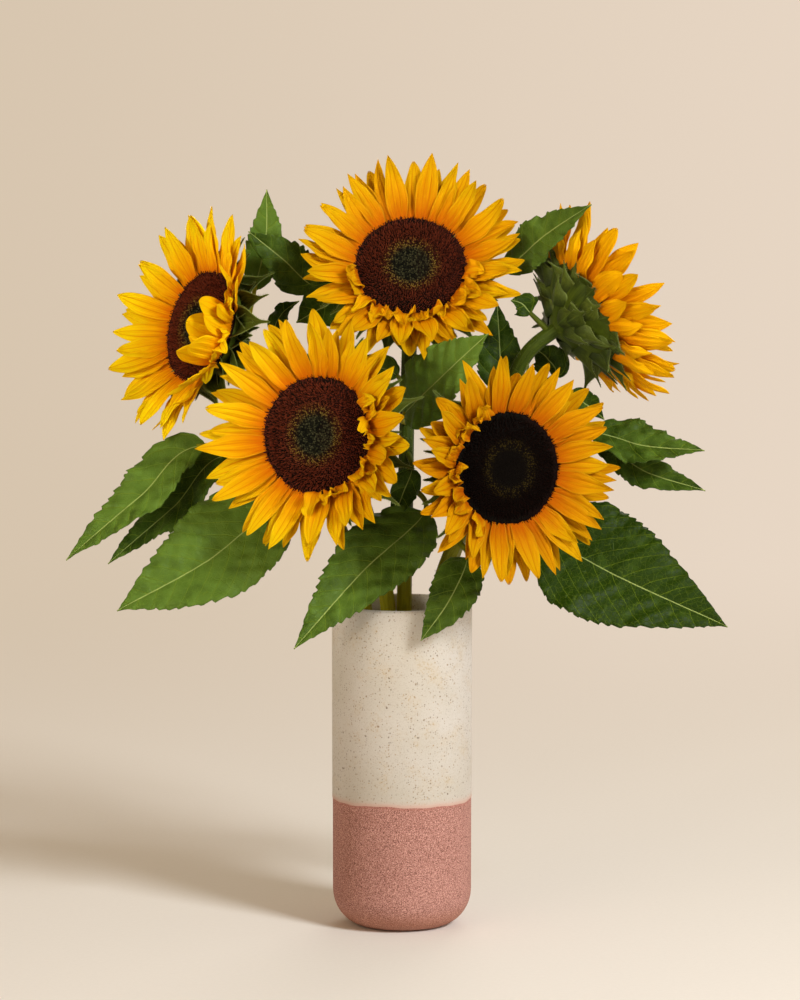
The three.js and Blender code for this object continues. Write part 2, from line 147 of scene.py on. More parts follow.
# Narrower petals between the two main layers, shorter ones behind the rest, next to the
# bracts, and short crumpled ones that stand up round part of the disc. Each range is drawn
# from, and the first two layers' lengths and widths are shares of PETAL's.
DRAWN = ("length", "width", "pitch", "bend", "trough", "twist")
MIDDLE_LAYER = {
    "cup": 17.0, "root_r": PETAL["root_r"], "root_n": -1.8,
    "offset": 0.25, "stray": 0.3, "crumple": 0.35,
    "length": (0.78, 1.05), "width": (0.74, 1.04), "pitch": (-7, 9),
    "bend": (-8, 18), "trough": (0.05, 0.5), "twist": (-22, 22),
}
BACK_LAYER = {
    "cup": 2.0, "root_r": PETAL["root_r"] - 2, "root_n": -7.0,
    "offset": 0.0, "stray": 0.25, "crumple": 0.5,
    "length": (0.55, 0.9), "width": (0.85, 1.1), "pitch": (-5, 5),
    "bend": (4, 24), "trough": (0.1, 0.4), "twist": (-18, 18), "blunt": 0.9,
}
INNER_LAYER = {
    "root_r": PETAL["root_r"] - 0.5, "root_n": 0.0, "crumple": 1.0, "blunt": 1.0,
    "length": (12, 26), "width": (11, 16), "pitch": (32, 70),
    "bend": (-60, 20), "trough": (-0.1, 0.5), "twist": (-50, 50),
}
BRACT_ROWS = [
    {"count": 6, "offset": 0.25, "pitch": 2.0, "root_r": 32.0, "root_n": -8.0},
    {"count": 6, "offset": 0.75, "pitch": -9.0, "root_r": 28.0, "root_n": -12.0},
]
BRACT = {"length": 40.0, "width": 23.0, "thickness": 0.8}
# More rows, which clothe the back of the head.
BRACT_KEYS = ("count", "root_r", "root_n", "pitch", "length", "width", "trim")
EXTRA_BRACTS = (
    (5, 10.0, -26.5, 8, 22, 19, 0.0),
    (7, 19.0, -23.0, 8, 24, 21, 0.1),
    (9, 29.0, -16.5, 2, 27, 21, 0.4),
    (12, 35.0, -9.5, -4, 28, 22, 0.8),
)
# A leaf's teeth are `tooth` apart, and its edge waves as the solid's does, whose larger teeth
# are `solid_tooth` apart.
LEAF = {
    "thickness": 0.6,
    "stalk_radius": 2.0,
    "stalk_ribs": (5, 0.12),
    "stalk_points": 24,
    "stalk_sides": 12,
    "tooth": 7.5,
    "solid_tooth": 17.0,
    "wave": 2.2,
    "pucker": 0.42,
}
# Side veins: the gap between them, and how far they lead forward and bend. The gap and the
# widths are in cm. The depths, of grooves in the blade's upper face, are in mm, and `ridge` is
# the width over which the blade is thicker at its midrib.
VEIN = {"gap": 1.5, "lead": 0.95, "bend": 1.25, "depth": 0.7, "width": 0.16}
MIDRIB = {"depth": 0.8, "width": 0.12, "ridge": 0.15}
# How many points each kind of blade has along it and across it. A leaf has its own number
# along each tooth.
PETAL_GRID = (28, 21)
BRACT_GRID = (24, 11)
LEAF_COLUMNS, TOOTH_STEPS = 23, 6
SEEDS = {"petals": 100, "disc": 200, "stalk": 300, "bracts": 400, "leaves": 500}

# Each flower: the centre of its disc, where it faces (azimuth 0 is -Y and 90 is +X), its size
# and how far its petals lean in. How orange, how bright and how blunt its petals are, how dark
# its disc is, and how many petals it has between its layers and behind the rest. How bright
# (`shade`) is partly the petals' own colour and partly painted shade, set per head for how the
# light falls on it. The side on which its petals curl up, by how much and how narrowly, the side
# on which its bracts are shorter and by what share, and the short crumpled petals round part of
# its disc. Its stem's path, and its leaves. A leaf grows from its stem at height `at`, and its
# midrib runs base, middle, tip. How light a leaf is (`light`) is partly its own green and partly
# painted light and shade for where it sits.
LEAF_KEYS = ("at", "base", "middle", "tip", "width", "face", "fold", "light")
FLOWERS = [
    {
        "centre": (6.3, 5, 471), "azimuth": 0, "elevation": 32, "size": 1.0, "cup": 0,
        "warm": 0.6, "shade": 0.8, "blunt": 0.3, "disc": 0.2, "between": 25, "behind": 0,
        "curl": (270, 8, 2), "bract_trim": (90, 0), "inner": {"at": 270, "spread": 170, "count": 15},
        "stem": [(2, 4), (2, 2, 120), (1.5, 0, 232), (3, 12, 345), (5.5, 32, 425)],
        "leaves": [
            (318, (16, -12, 298), (-28, -52, 260), (-75, -80, 210), 56, (-0.1, -0.92, 0.35), 8, 0.6),
            (358, (1, -14, 367), (30, -48, 399), (59, -70, 428), 50, (-0.15, -0.9, 0.4), 8, 1.1),
            (425, (72, 25, 467), (100, -7, 493), (131, -40, 516), 34, (0.1, -0.9, 0.4), 10, 0.7),
            (420, (-60, 36, 453), (-84, 30, 474), (-109, 22, 495), 36, (0, -0.95, 0.3), 6, 0.4),
            (408, (-36, 30, 447), (-56, 24, 441), (-75, 14, 431), 42, (0, -0.95, 0.3), 6, 0.15),
            (372, (-3, 16, 392), (-21, 10, 399), (-40, 2, 391), 22, (0, -0.8, 0.6), 10, 0.5),
            (340, (7, -4, 328), (1, -12, 312), (-7, -20, 291), 22, (0.2, -0.95, 0.2), 10, 0.2),
        ],
    },
    {
        "centre": (-59, -75, 358), "azimuth": -25, "elevation": 6, "size": 1.03, "cup": 0,
        "warm": 0.38, "shade": 0.86, "blunt": 0.3, "disc": 0.0, "between": 25, "behind": 0,
        "curl": (340, 18, 2), "bract_trim": (90, 0), "inner": {"at": 335, "spread": 130, "count": 10},
        "stem": [(-6, -20), (-8, -15, 120), (-10.5, -8, 232), (-30, -16, 312), (-42, -32, 347)],
        "leaves": [
            (318, (-139, -8, 345), (-185, -22, 310), (-237, -30, 266), 42, (-0.4, -0.8, 0.45), 10, 0.75),
            (305, (-121, 6, 337), (-163, -4, 300), (-209, -10, 261), 40, (-0.3, -0.8, 0.55), 10, 0.3),
            (288, (-80, -22, 305), (-138, -45, 266), (-199, -60, 234), 76, (-0.15, -0.9, 0.4), 8, 0.82),
        ],
    },
    {
        "centre": (73, -75, 335), "azimuth": 23, "elevation": 4, "size": 0.98, "cup": 0,
        "warm": 0.75, "shade": 0.74, "blunt": 0.0, "disc": 0.97, "between": 25, "behind": 0,
        "curl": (180, 14, 2), "bract_trim": (90, 0), "inner": {"at": 172, "spread": 130, "count": 10},
        "stem": [(16, -16), (18, -14, 120), (24, -12, 232), (46, -16, 295), (57, -31, 326)],
        "leaves": [
            (278, (46, -35, 268), (33, -58, 241), (13, -62, 213), 36, (0.1, -0.9, 0.4), 10, 0.4),
            (292, (96, -8, 281), (155, -22, 252), (229, -40, 220), 90, (0.1, -0.9, 0.42), 8, -0.08),
        ],
    },
    {
        "centre": (-144, 8, 429), "azimuth": -54, "elevation": 16, "size": 1.0, "cup": 3,
        "warm": -0.15, "shade": 1.0, "blunt": 1.3, "disc": 0.0, "between": 15, "behind": 0,
        "curl": (343, 64, 4), "bract_trim": (90, 0), "inner": {"at": 350, "spread": 90, "count": 6},
        "stem": [(-24, 6), (-25, 7, 120), (-28, 8, 232), (-66, 18, 330), (-100, 26, 398)],
        "leaves": [
            (414, (-106, 48, 452), (-98, 50, 488), (-97, 46, 524), 30, (0, -0.98, 0.15), 8, 1.6),
            (382, (-92, 34, 420), (-86, 26, 436), (-74, 16, 446), 15, (0.2, -0.8, 0.6), 10, 0.1),
        ],
    },
    {
        "centre": (130.5, 10, 438), "azimuth": 114, "elevation": 25, "size": 1.0, "cup": 15,
        "warm": 0.5, "shade": 1.0, "blunt": 0.8, "disc": 0.0, "between": 18, "behind": 19,
        "curl": (0, 0, 2), "bract_trim": (150, 0.56), "inner": {"at": 0, "spread": 360, "count": 6},
        "stem": [(20, 16), (22, 14, 120), (27, 12, 232), (62, 4, 330), (83, -4, 401)],
        "leaves": [
            (352, (132, -2, 354), (172, -12, 345), (213, -22, 343), 38, (0.1, -0.75, 0.65), 8, 0.4),
            (340, (137, 10, 342), (176, 2, 324), (215, -8, 313), 30, (0, -0.8, 0.5), 8, 0.3),
            (330, (70, 18, 379), (70, 24, 407), (68, 28, 444), 36, (0.1, -0.95, 0.2), 6, 0.2),
            (424, (91, -5, 438), (85, -7, 445), (77, -8, 448), 20, (0, -0.85, 0.5), 6, 0.1),
            (372, (108, 22, 392), (104, 28, 404), (94, 34, 412), 26, (0, -1, 0.1), 6, 0.1),
            (362, (118, 2, 378), (130, -4, 374), (143, -10, 364), 22, (0.1, -0.8, 0.5), 8, 0.2),
        ],
    },
]

# ------------------------------------------------------------ shared helpers


def make_random(seed):
    """A seeded source of numbers from 0 to 1, which draws what the solids drew."""
    state = (seed * 7919 + 12345) & 0xFFFFFFFF

    def draw():
        nonlocal state
        state = (state * 1664525 + 1013904223) & 0xFFFFFFFF
        return state / 4294967296

    return draw


def draws_for(kind, number):
    return np.random.default_rng(SEEDS[kind] + number)


def unit(vectors):
    vectors = np.asarray(vectors, float)
    return vectors / np.maximum(np.linalg.norm(vectors, axis=-1, keepdims=True), 1e-9)


def ramp(value, low, high):
    """0 at `low` and 1 at `high`, and no less or more beyond them."""
    return np.clip((value - low) / (high - low), 0, 1)


def bell(value, width):
    return np.exp(-((value / width) ** 2))


def move(points, matrix):
    return points @ matrix[:3, :3].T + matrix[:3, 3]


def spread(line, *parts):
    """A grid of points round a line, by an amount along each of some directions."""
    return line[:, None] + sum(way[:, None] * amount[..., None] for way, amount in parts)


def catmull_rom(points, shares):
    """Points at shares 0 to 1 along a uniform Catmull-Rom curve."""
    points = np.asarray(points, float)
    padded = np.vstack([2 * points[0] - points[1], points, 2 * points[-1] - points[-2]])
    place = np.clip(np.asarray(shares, float), 0, 1) * (len(points) - 1)
    index = np.minimum(place.astype(int), len(points) - 2)
    w = (place - index)[:, None]
    a, b, c, d = (padded[index + step] for step in range(4))
    start, end = (c - a) / 2, (d - b) / 2
    return (2 * b - 2 * c + start + end) * w**3 + (3 * c - 3 * b - 2 * start - end) * w**2 + start * w + b


def length_along(path):
    return np.concatenate([[0], np.cumsum(np.linalg.norm(np.diff(path, axis=0), axis=1))])


def evenly(points, count):
    """The same line through `points`, at `count` places an equal length apart."""
    run = length_along(points)
    wanted = np.linspace(0, run[-1], count)
    return np.stack([np.interp(wanted, run, points[:, axis]) for axis in range(3)], 1)


def frames_along(path, start_side):
    """The tangent and two directions across it, turned as little as can be, at each point."""
    tangent = unit(np.gradient(path, axis=0))
    side = np.zeros_like(path)
    last = np.asarray(start_side, float)
    for i, forward in enumerate(tangent):
        last = unit(last - forward * (last @ forward))
        side[i] = last
    return tangent, side, np.cross(tangent, side)


def grid_faces(rows, columns, closed=False):
    """Four-sided faces of a grid of points, each facing across x along."""
    index = np.arange(rows * columns).reshape(rows, columns)
    if closed:
        index = np.hstack([index, index[:, :1]])
    corners = [index[:-1, :-1], index[:-1, 1:], index[1:, 1:], index[1:, :-1]]
    return np.stack(corners, -1).reshape(-1, 4)


class Pile:
    """The points, faces and values of one piece, gathered part by part."""

    def __init__(self):
        self.points, self.faces, self.slots, self.smooth = [], [], [], []
        self.place, self.tone = [], []
        self.count = 0

    def add(self, points, faces, place, tone, slot=0, flat_group=None):
        """`place` is three numbers a point and `tone` one, for the material to read. One group
        of faces may be flat, so that a thin rim doesn't darken the faces beside it."""
        points = np.asarray(points, float).reshape(-1, 3)
        self.points.append(points)
        self.place.append(np.broadcast_to(np.asarray(place, float).reshape(-1, 3), points.shape))
        self.tone.append(np.broadcast_to(np.asarray(tone, float).ravel(), len(points)))
        for i, group in enumerate(faces):
            self.faces += (np.asarray(group) + self.count).tolist()
            self.slots += [slot] * len(group)
            self.smooth += [i != flat_group] * len(group)
        self.count += len(points)

    def piece(self, name, materials, record_slot, node):
        mesh = bpy.data.meshes.new(name)
        points = np.clip(np.vstack(self.points) * MM, *cad_box)
        mesh.from_pydata(points.tolist(), [], self.faces)
        for material in materials:
            mesh.materials.append(material)
        mesh.polygons.foreach_set("material_index", self.slots)
        mesh.polygons.foreach_set("use_smooth", self.smooth)
        place = mesh.attributes.new("place", "FLOAT_VECTOR", "POINT")
        place.data.foreach_set("vector", np.vstack(self.place).astype(np.float32).ravel())
        tone = mesh.attributes.new("tone", "FLOAT", "POINT")
        tone.data.foreach_set("value", np.concatenate(self.tone).astype(np.float32))
        mesh.update()
        piece = link(bpy.data.objects.new(name, mesh))
        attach(piece, "root")
        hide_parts(node)


def sheet(middle, thick):
    """A closed thin blade round a grid of middle points, `thick` deep at each of them."""
    across, along = np.gradient(middle, axis=1), np.gradient(middle, axis=0)
    rise = unit(np.cross(across, along)) * np.asarray(thick)[..., None] / 2
    rows, columns = middle.shape[:2]
    size = rows * columns
    quads = grid_faces(rows, columns)
    index = np.arange(size).reshape(rows, columns)
    rim = np.concatenate([index[0, :-1], index[:-1, -1], index[-1, :0:-1], index[:0:-1, 0]])
    after = np.roll(rim, -1)
    wall = np.stack([after, rim, rim + size, after + size], -1)
    points = np.vstack([(middle + rise).reshape(-1, 3), (middle - rise).reshape(-1, 3)])
    return points, [quads, quads[:, ::-1] + size, wall]


def add_sheet(pile, middle, thick, across, along, own, tone):
    """`across` and `along` give each grid point's place. The underside's own number is -1 - own."""
    points, faces = sheet(middle, thick)
    flat = np.stack([across.ravel(), along.ravel(), np.full(across.size, own)], 1)
    under = flat * (1, 1, -1) - (0, 0, 1)
    tones = np.full(2 * across.size, tone)
    pile.add(points, faces, np.vstack([flat, under]), tones, flat_group=2)


def round_faces(rows, sides):
    """Faces of a stack of rings, and of two caps that meet in the two points after them."""
    count = rows * sides
    first, last = np.arange(sides), count - sides + np.arange(sides)
    start_cap = np.stack([np.roll(first, -1), first, np.full(sides, count)], -1)
    end_cap = np.stack([last, np.roll(last, -1), np.full(sides, count + 1)], -1)
    return [grid_faces(rows, sides, True), start_cap, end_cap]


def add_tube(pile, path, radii, sides, start_side, own, tone, ribs, slot=0):
    """A closed tube along `path`; ribs gives how many ridges run along it and their height."""
    _, side, up = frames_along(path, start_side)
    turns = np.arange(sides) / sides * TURN
    ridge = 1 + ribs[1] * np.cos(turns * ribs[0])[None, :] / np.asarray(radii)[:, None]
    reach = np.asarray(radii)[:, None] * ridge
    around = side[:, None] * np.cos(turns)[None, :, None] + up[:, None] * np.sin(turns)[None, :, None]
    ring = path[:, None] + around * reach[..., None]
    run = length_along(path)
    place = np.stack(np.broadcast_arrays(np.cos(turns)[None], run[:, None] / 10, own), -1)
    points = np.vstack([ring.reshape(-1, 3), path[:1], path[-1:]])
    places = np.vstack([place.reshape(-1, 3), [0, 0, own], [0, run[-1] / 10, own]])
    if np.ndim(tone):
        tone = np.concatenate([np.repeat(tone, sides), tone[:1], tone[-1:]])
    pile.add(points, round_faces(len(path), sides), places, tone, slot)


def add_lathe(pile, profile, sides, matrix=None, tone=0.0, own=0.0, wobble=None, slot=0):
    """A profile of (radius, height) points, from axis to axis, turned about Z."""
    profile = np.asarray(profile, float)
    inner = profile[1:-1]
    turns = np.arange(sides) / sides * TURN
    radius, height = (np.repeat(inner[:, k : k + 1], sides, 1) for k in range(2))
    if wobble is not None:
        radius, height = wobble(radius, height, turns[None, :])
    ring = np.stack([radius * np.cos(turns), radius * np.sin(turns), height], -1).reshape(-1, 3)
    points = np.vstack([ring, [0, 0, profile[0, 1]], [0, 0, profile[-1, 1]]])
    if matrix is not None:
        points = move(points, matrix)
    place = np.stack([np.tile(np.cos(turns), len(inner)), ring[:, 2] / 10, np.full(len(ring), own)], 1)
    place = np.vstack([place, [[0, 0, own]] * 2])
    tones = np.asarray(tone, float)
    if tones.ndim:
        tones = np.concatenate([np.repeat(tones[1:-1], sides), tones[:1], tones[-1:]])
    pile.add(points, round_faces(len(inner), sides), place, tones, slot)


def add_hairs(pile, roots, directions, lengths, width):
    """Fine three-sided hairs in the pile's second material, each a root triangle that runs out
    to a point."""
    directions = unit(directions)
    spare = np.where(np.abs(directions[:, 2:]) < 0.9, [[0.0, 0.0, 1.0]], [[1.0, 0.0, 0.0]])
    side = unit(np.cross(directions, spare))
    up = np.cross(directions, side)
    corners = [
        roots + (side * math.cos(turn) + up * math.sin(turn)) * width
        for turn in (0, TURN / 3, 2 * TURN / 3)
    ]
    tips = roots + directions * np.asarray(lengths)[:, None]
    points = np.stack([*corners, tips], 1).reshape(-1, 3)
    start = np.arange(len(roots))[:, None] * 4
    pattern = [(0, 1, 3), (1, 2, 3), (2, 0, 3), (2, 1, 0)]
    faces = [start + np.array(corner) for corner in pattern]
    pile.add(points, faces, (0, 0, 0), 0.5, slot=1)


# ------------------------------------------------------------ material helpers


class Shader:
    """A material's nodes, added one at a time."""

    def __init__(self, name):
        self.material = bpy.data.materials.new(name)
        self.material.use_nodes = True
        self.tree = self.material.node_tree
        self.tree.nodes.clear()

    def put(self, socket, value):
        if isinstance(value, bpy.types.NodeSocket):
            self.tree.links.new(value, socket)
        else:
            socket.default_value = value

    def add(self, kind, inputs=None, **settings):
        node = self.tree.nodes.new("ShaderNode" + kind)
        for key, value in settings.items():
            setattr(node, key, value)
        for key, value in (inputs or {}).items():
            self.put(node.inputs[key], value)
        return node

    def math(self, operation, a, b=0.0):
        return self.add("Math", {0: a, 1: b}, operation=operation).outputs[0]

    def times(self, a, b):
        return self.math("MULTIPLY", a, b)

    def plus(self, a, b):
        return self.math("ADD", a, b)

    def minus(self, a, b):
        return self.math("SUBTRACT", a, b)

    def size(self, value):
        return self.math("ABSOLUTE", value)

    def mix(self, share, a, b):
        return self.add("Mix", {0: share, 6: a, 7: b}, data_type="RGBA").outputs[2]

    def tints(self, base, *layers):
        """`base` under layers of (share, most, colour): `most` of a colour where its share is 1."""
        for share, most, color in layers:
            base = self.mix(self.times(share, most), base, color)
        return base

    def span(self, value, low, high, to_low=0.0, to_high=1.0):
        inputs = {0: value, 1: low, 2: high, 3: to_low, 4: to_high}
        return self.add("MapRange", inputs, interpolation_type="SMOOTHSTEP").outputs[0]

    def attribute(self, name):
        return self.add("Attribute", attribute_type="GEOMETRY", attribute_name=name)

    def tone(self):
        return self.attribute("tone").outputs["Fac"]

    def where(self):
        return self.add("TexCoord").outputs["Object"]

    def split(self, vector):
        parts = self.add("SeparateXYZ", {0: vector})
        return [parts.outputs[axis] for axis in range(3)]

    def place(self):
        return self.split(self.attribute("place").outputs["Vector"])

    def join(self, x, y, z):
        return self.add("CombineXYZ", {0: x, 1: y, 2: z}).outputs[0]

    def noise(self, vector, scale, detail=3.0, roughness=0.5):
        inputs = {"Vector": vector, "Scale": scale, "Detail": detail, "Roughness": roughness}
        return self.add("TexNoise", inputs).outputs[0]

    def bump(self, height, distance, strength):
        inputs = {"Height": height, "Distance": distance, "Strength": strength}
        return self.add("Bump", inputs).outputs[0]

    def principled(self, color, roughness, more=None):
        inputs = {"Base Color": color, "Roughness": roughness, **(more or {})}
        return self.add("BsdfPrincipled", inputs).outputs[0]

    def finish(self, surface):
        output = self.add("OutputMaterial")
        self.tree.links.new(surface, output.inputs[0])
        return self.material

    def blade_surface(self, color, roughness, normal, glow, glow_color, specular):
        """A thin leaf or petal: a soft surface that lets some light through."""
        more = {"Normal": normal, "Specular IOR Level": specular}
        front = self.principled(color, roughness, more)
        through = self.add("BsdfTranslucent", {"Color": glow_color, "Normal": normal}).outputs[0]
        return self.finish(self.add("MixShader", {0: glow, 1: front, 2: through}).outputs[0])


def rgb(red, green, blue):
    """A colour given as it looks on a screen, 0 to 255, as the linear colour that nodes use."""
    parts = [value / 255 for value in (red, green, blue)]
    linear = [p / 12.92 if p <= 0.04045 else ((p + 0.055) / 1.055) ** 2.4 for p in parts]
    return (*linear, 1.0)


# ------------------------------------------------------------ materials


def petal_material(number, shade):
    """Orange at the claw, partly painted shade near the disc, and lemon at the tip, with painted shade in
    its folds, fine nerves and a pale rim.
    """
    s = Shader(f"petal_{number}")

    # `shade` scales every dye of this flower's petals: partly their own colour, partly painted shade set
    # per head for how the light falls on it.
    def dye(*screen_color):
        return (*(part * shade for part in rgb(*screen_color)[:3]), 1.0)

    across, along, own = s.place()
    under = s.math("LESS_THAN", own, -0.5)
    own, wide = s.size(own), s.size(across)
    fleck = s.noise(s.join(s.times(across, 5.0), along, own), 2.2, 4.0)
    streak = s.noise(s.join(s.times(across, 14.0), s.times(along, 0.8), own), 1.6, 2.0)
    run = s.plus(along, s.times(s.minus(fleck, 0.5), 0.55))
    far = s.span(run, 0.0, 0.8)
    # The claw's deep orange is partly the petal's own colour and partly painted shade near the disc.
    color = s.mix(s.span(run, -0.05, 0.36), dye(226, 104, 0), dye(255, 190, 0))
    color = s.mix(s.span(run, 0.25, 0.8), color, dye(255, 230, 10))
    color = s.mix(s.tone(), color, s.mix(far, dye(206, 92, 0), dye(246, 164, 0)))
    # Painted shade: the petal's fold troughs are darker orange, except near its edges.
    fold_shade = s.span(s.math("COSINE", s.times(across, TURN * sum(PETAL["folds"]) / 2)), -0.5, -1.0)
    thread = s.span(s.math("COSINE", s.times(across, TURN * PETAL["threads"])), -0.2, -1.0)
    thread = s.times(thread, s.span(streak, 0.7, 0.4))
    scorch = s.times(s.span(along, 0.95, 1.0), s.span(fleck, 0.4, 0.6))
    color = s.tints(
        color,
        (s.times(fold_shade, s.span(wide, 0.9, 0.6)), 0.5, dye(216, 108, 0)),
        (thread, 0.18, dye(228, 126, 0)),
        (s.span(streak, 0.55, 0.3), 0.35, dye(236, 136, 0)),
        (s.span(wide, 0.88, 1.0), 0.25, dye(255, 222, 40)),
        (scorch, 0.35, dye(178, 96, 8)),
        (under, 0.55, s.mix(far, dye(222, 128, 0), dye(248, 184, 2))),
    )
    normal = s.bump(s.plus(streak, s.times(thread, -0.6)), 0.0006, 0.6)
    through = s.mix(0.5, color, dye(255, 226, 60))
    return s.blade_surface(color, 0.62, normal, 0.26, through, 0.04)


def leaf_material():
    """Dark or light green by each leaf's tone, partly its own colour and partly painted light and shade,
    with pale veins sunk into the upper face.
    """
    s = Shader("leaf")
    across, along, own = s.place()
    wide, gap = s.size(across), VEIN["gap"]
    spot = s.join(across, along, own)
    drift = s.minus(s.noise(spot, 0.9, 4.0), 0.5)
    grain = s.noise(spot, 9.0, 3.0, 0.6)
    # Each leaf's tone is partly its own colour and partly painted light and shade for where it sits;
    # random patches vary it.
    light = s.plus(s.tone(), s.times(drift, 1.5))
    # Side veins leave the midrib half way between a right angle and straight on, and bend
    # forward. The two halves take turns.
    lead = s.times(s.math("POWER", wide, VEIN["bend"]), VEIN["lead"])
    half_step = s.times(s.math("GREATER_THAN", across, 0.0), 0.5)
    row = s.plus(s.math("DIVIDE", s.minus(along, lead), gap), half_step)
    row = s.plus(row, s.times(drift, 0.12))
    off = s.times(s.size(s.minus(s.math("FRACT", row), 0.5)), gap)
    side_vein = s.span(off, 0.05, 0.012)
    cells = s.add("TexVoronoi", {"Vector": spot, "Scale": 2.6}, feature="DISTANCE_TO_EDGE")
    net = s.span(cells.outputs["Distance"], 0.06, 0.0)
    color = s.tints(
        s.mix(s.span(light, -0.1, 1.1), rgb(31, 50, 2), rgb(94, 122, 42)),
        (s.span(grain, 0.4, 0.75), 0.22, rgb(80, 106, 14)),
        (s.span(off, 0.05, 0.45), 0.12, rgb(26, 42, 0)),
        (net, 0.25, rgb(112, 134, 30)),
        (side_vein, 0.55, rgb(124, 146, 36)),
        (s.span(wide, 0.06, 0.02), 0.8, rgb(166, 180, 100)),
        (s.math("LESS_THAN", own, -0.5), 0.5, rgb(96, 118, 50)),
    )
    relief = s.plus(s.times(side_vein, -0.7), s.times(net, -0.35))
    normal = s.bump(s.plus(relief, s.times(grain, 0.25)), 0.0008, 0.8)
    roughness = s.span(grain, 0.2, 0.8, 0.4, 0.55)
    return s.blade_surface(color, roughness, normal, 0.1, rgb(104, 146, 12), 0.11)


def bract_material():
    """Dark at the root as painted shade, with a pale rim that is partly painted highlight, a pale midrib,
    and a tone of each bract's own.
    """
    s = Shader("bract")
    across, along, own = s.place()
    wide, tone = s.size(across), s.tone()
    grain = s.noise(s.join(s.times(across, 2.0), along, own), 6.0, 4.0, 0.6)
    vein = s.span(wide, 0.08, 0.02)
    deep = s.mix(tone, rgb(26, 33, 2), rgb(56, 62, 10))
    pale = s.mix(tone, rgb(54, 66, 12), rgb(96, 108, 34))
    color = s.tints(
        s.mix(s.span(grain, 0.3, 0.7), deep, pale),
        (s.span(along, 0.55, 1.0), 0.4, rgb(84, 96, 22)),
        # Painted shade: darker towards the root, where the bracts overlap.
        (s.span(along, 0.5, 0.05), 0.85, rgb(12, 16, 2)),
        (vein, 0.35, rgb(96, 116, 44)),
        # The pale rim is partly the bract's own margin and partly painted highlight.
        (s.span(wide, 0.8, 1.0), 0.7, rgb(134, 146, 72)),
        (s.math("LESS_THAN", own, -0.5), 0.2, rgb(66, 84, 24)),
    )
    normal = s.bump(s.plus(grain, s.times(vein, 0.8)), 0.0006, 0.6)
    return s.blade_surface(color, 0.5, normal, 0.08, rgb(90, 120, 10), 0.16)


def stem_material():
    """Olive with streaks that run along the stem, paler low down at the vase's mouth as painted light,
    and darker towards the head as painted shade.
    """
    s = Shader("stem")
    around, along, own = s.place()
    spot = s.join(around, along, own)
    streak = s.noise(s.join(s.times(around, 6.0), s.times(along, 0.35), own), 2.4, 4.0, 0.6)
    mark = s.span(streak, 0.3, 0.7)
    patch = s.span(s.noise(spot, 0.5, 3.0), 0.4, 0.7)
    speck = s.span(s.noise(spot, 14.0, 2.0), 0.66, 0.74)
    # Painted light: the low part, at the vase's mouth, is paler; painted shade: the high part, under the
    # head, is darker.
    low = s.mix(mark, rgb(138, 132, 10), rgb(178, 168, 32))
    high = s.mix(mark, rgb(38, 50, 5), rgb(68, 80, 16))
    color = s.mix(s.tone(), s.tints(low, (patch, 0.4, rgb(110, 112, 12))), high)
    color = s.tints(color, (speck, 0.35, rgb(58, 52, 22)))
    more = {"Normal": s.bump(streak, 0.0005, 0.6), "Specular IOR Level": 0.1}
    return s.finish(s.principled(color, 0.5, more))


def hair_material():
    s = Shader("hair")
    where = s.where()
    color = s.mix(s.noise(where, 60.0), rgb(104, 116, 56), rgb(148, 156, 96))
    return s.finish(s.principled(color, 0.6))


def disc_material():
    """Maroon outside, specks of dull gold half way in, dark green buds in the middle."""
    s = Shader("disc_floret")
    out, high, own = s.place()
    own, tone = s.size(own), s.tone()
    rim = s.mix(own, rgb(28, 7, 3), rgb(110, 46, 26))
    heart = s.mix(s.math("POWER", own, 2.5), rgb(5, 7, 2), rgb(72, 70, 46))
    color = s.tints(
        s.mix(s.span(out, 0.3, 0.52), heart, rim),
        (s.times(s.span(high, 0.55, 1.0), s.span(out, 0.4, 0.6)), 0.4, rgb(124, 54, 28)),
        (s.span(out, 0.86, 1.0), 0.45, rgb(34, 10, 4)),
    )
    band = s.times(s.span(out, 0.3, 0.42), s.span(out, 0.58, 0.46))
    gold = s.times(s.times(band, s.span(high, 0.35, 0.9)), s.span(own, 0.35, 0.8))
    gilt = s.times(gold, s.span(tone, 0.0, 1.0, 0.75, 0.2))
    color = s.mix(gilt, s.mix(tone, color, rgb(7, 3, 1)), rgb(126, 108, 38))
    return s.finish(s.principled(color, 0.75, {"Specular IOR Level": 0.06}))


# Brown specks in the glaze: how many a metre, their radius as a share of their gap, how
# many of the places hold one, and how dark they are.
GLAZE_SPECKS = (
    (110.0, 0.12, 0.3, 0.95),
    (190.0, 0.15, 0.34, 0.85),
    (330.0, 0.22, 0.42, 0.7),
    (640.0, 0.42, 0.52, 0.58),
)


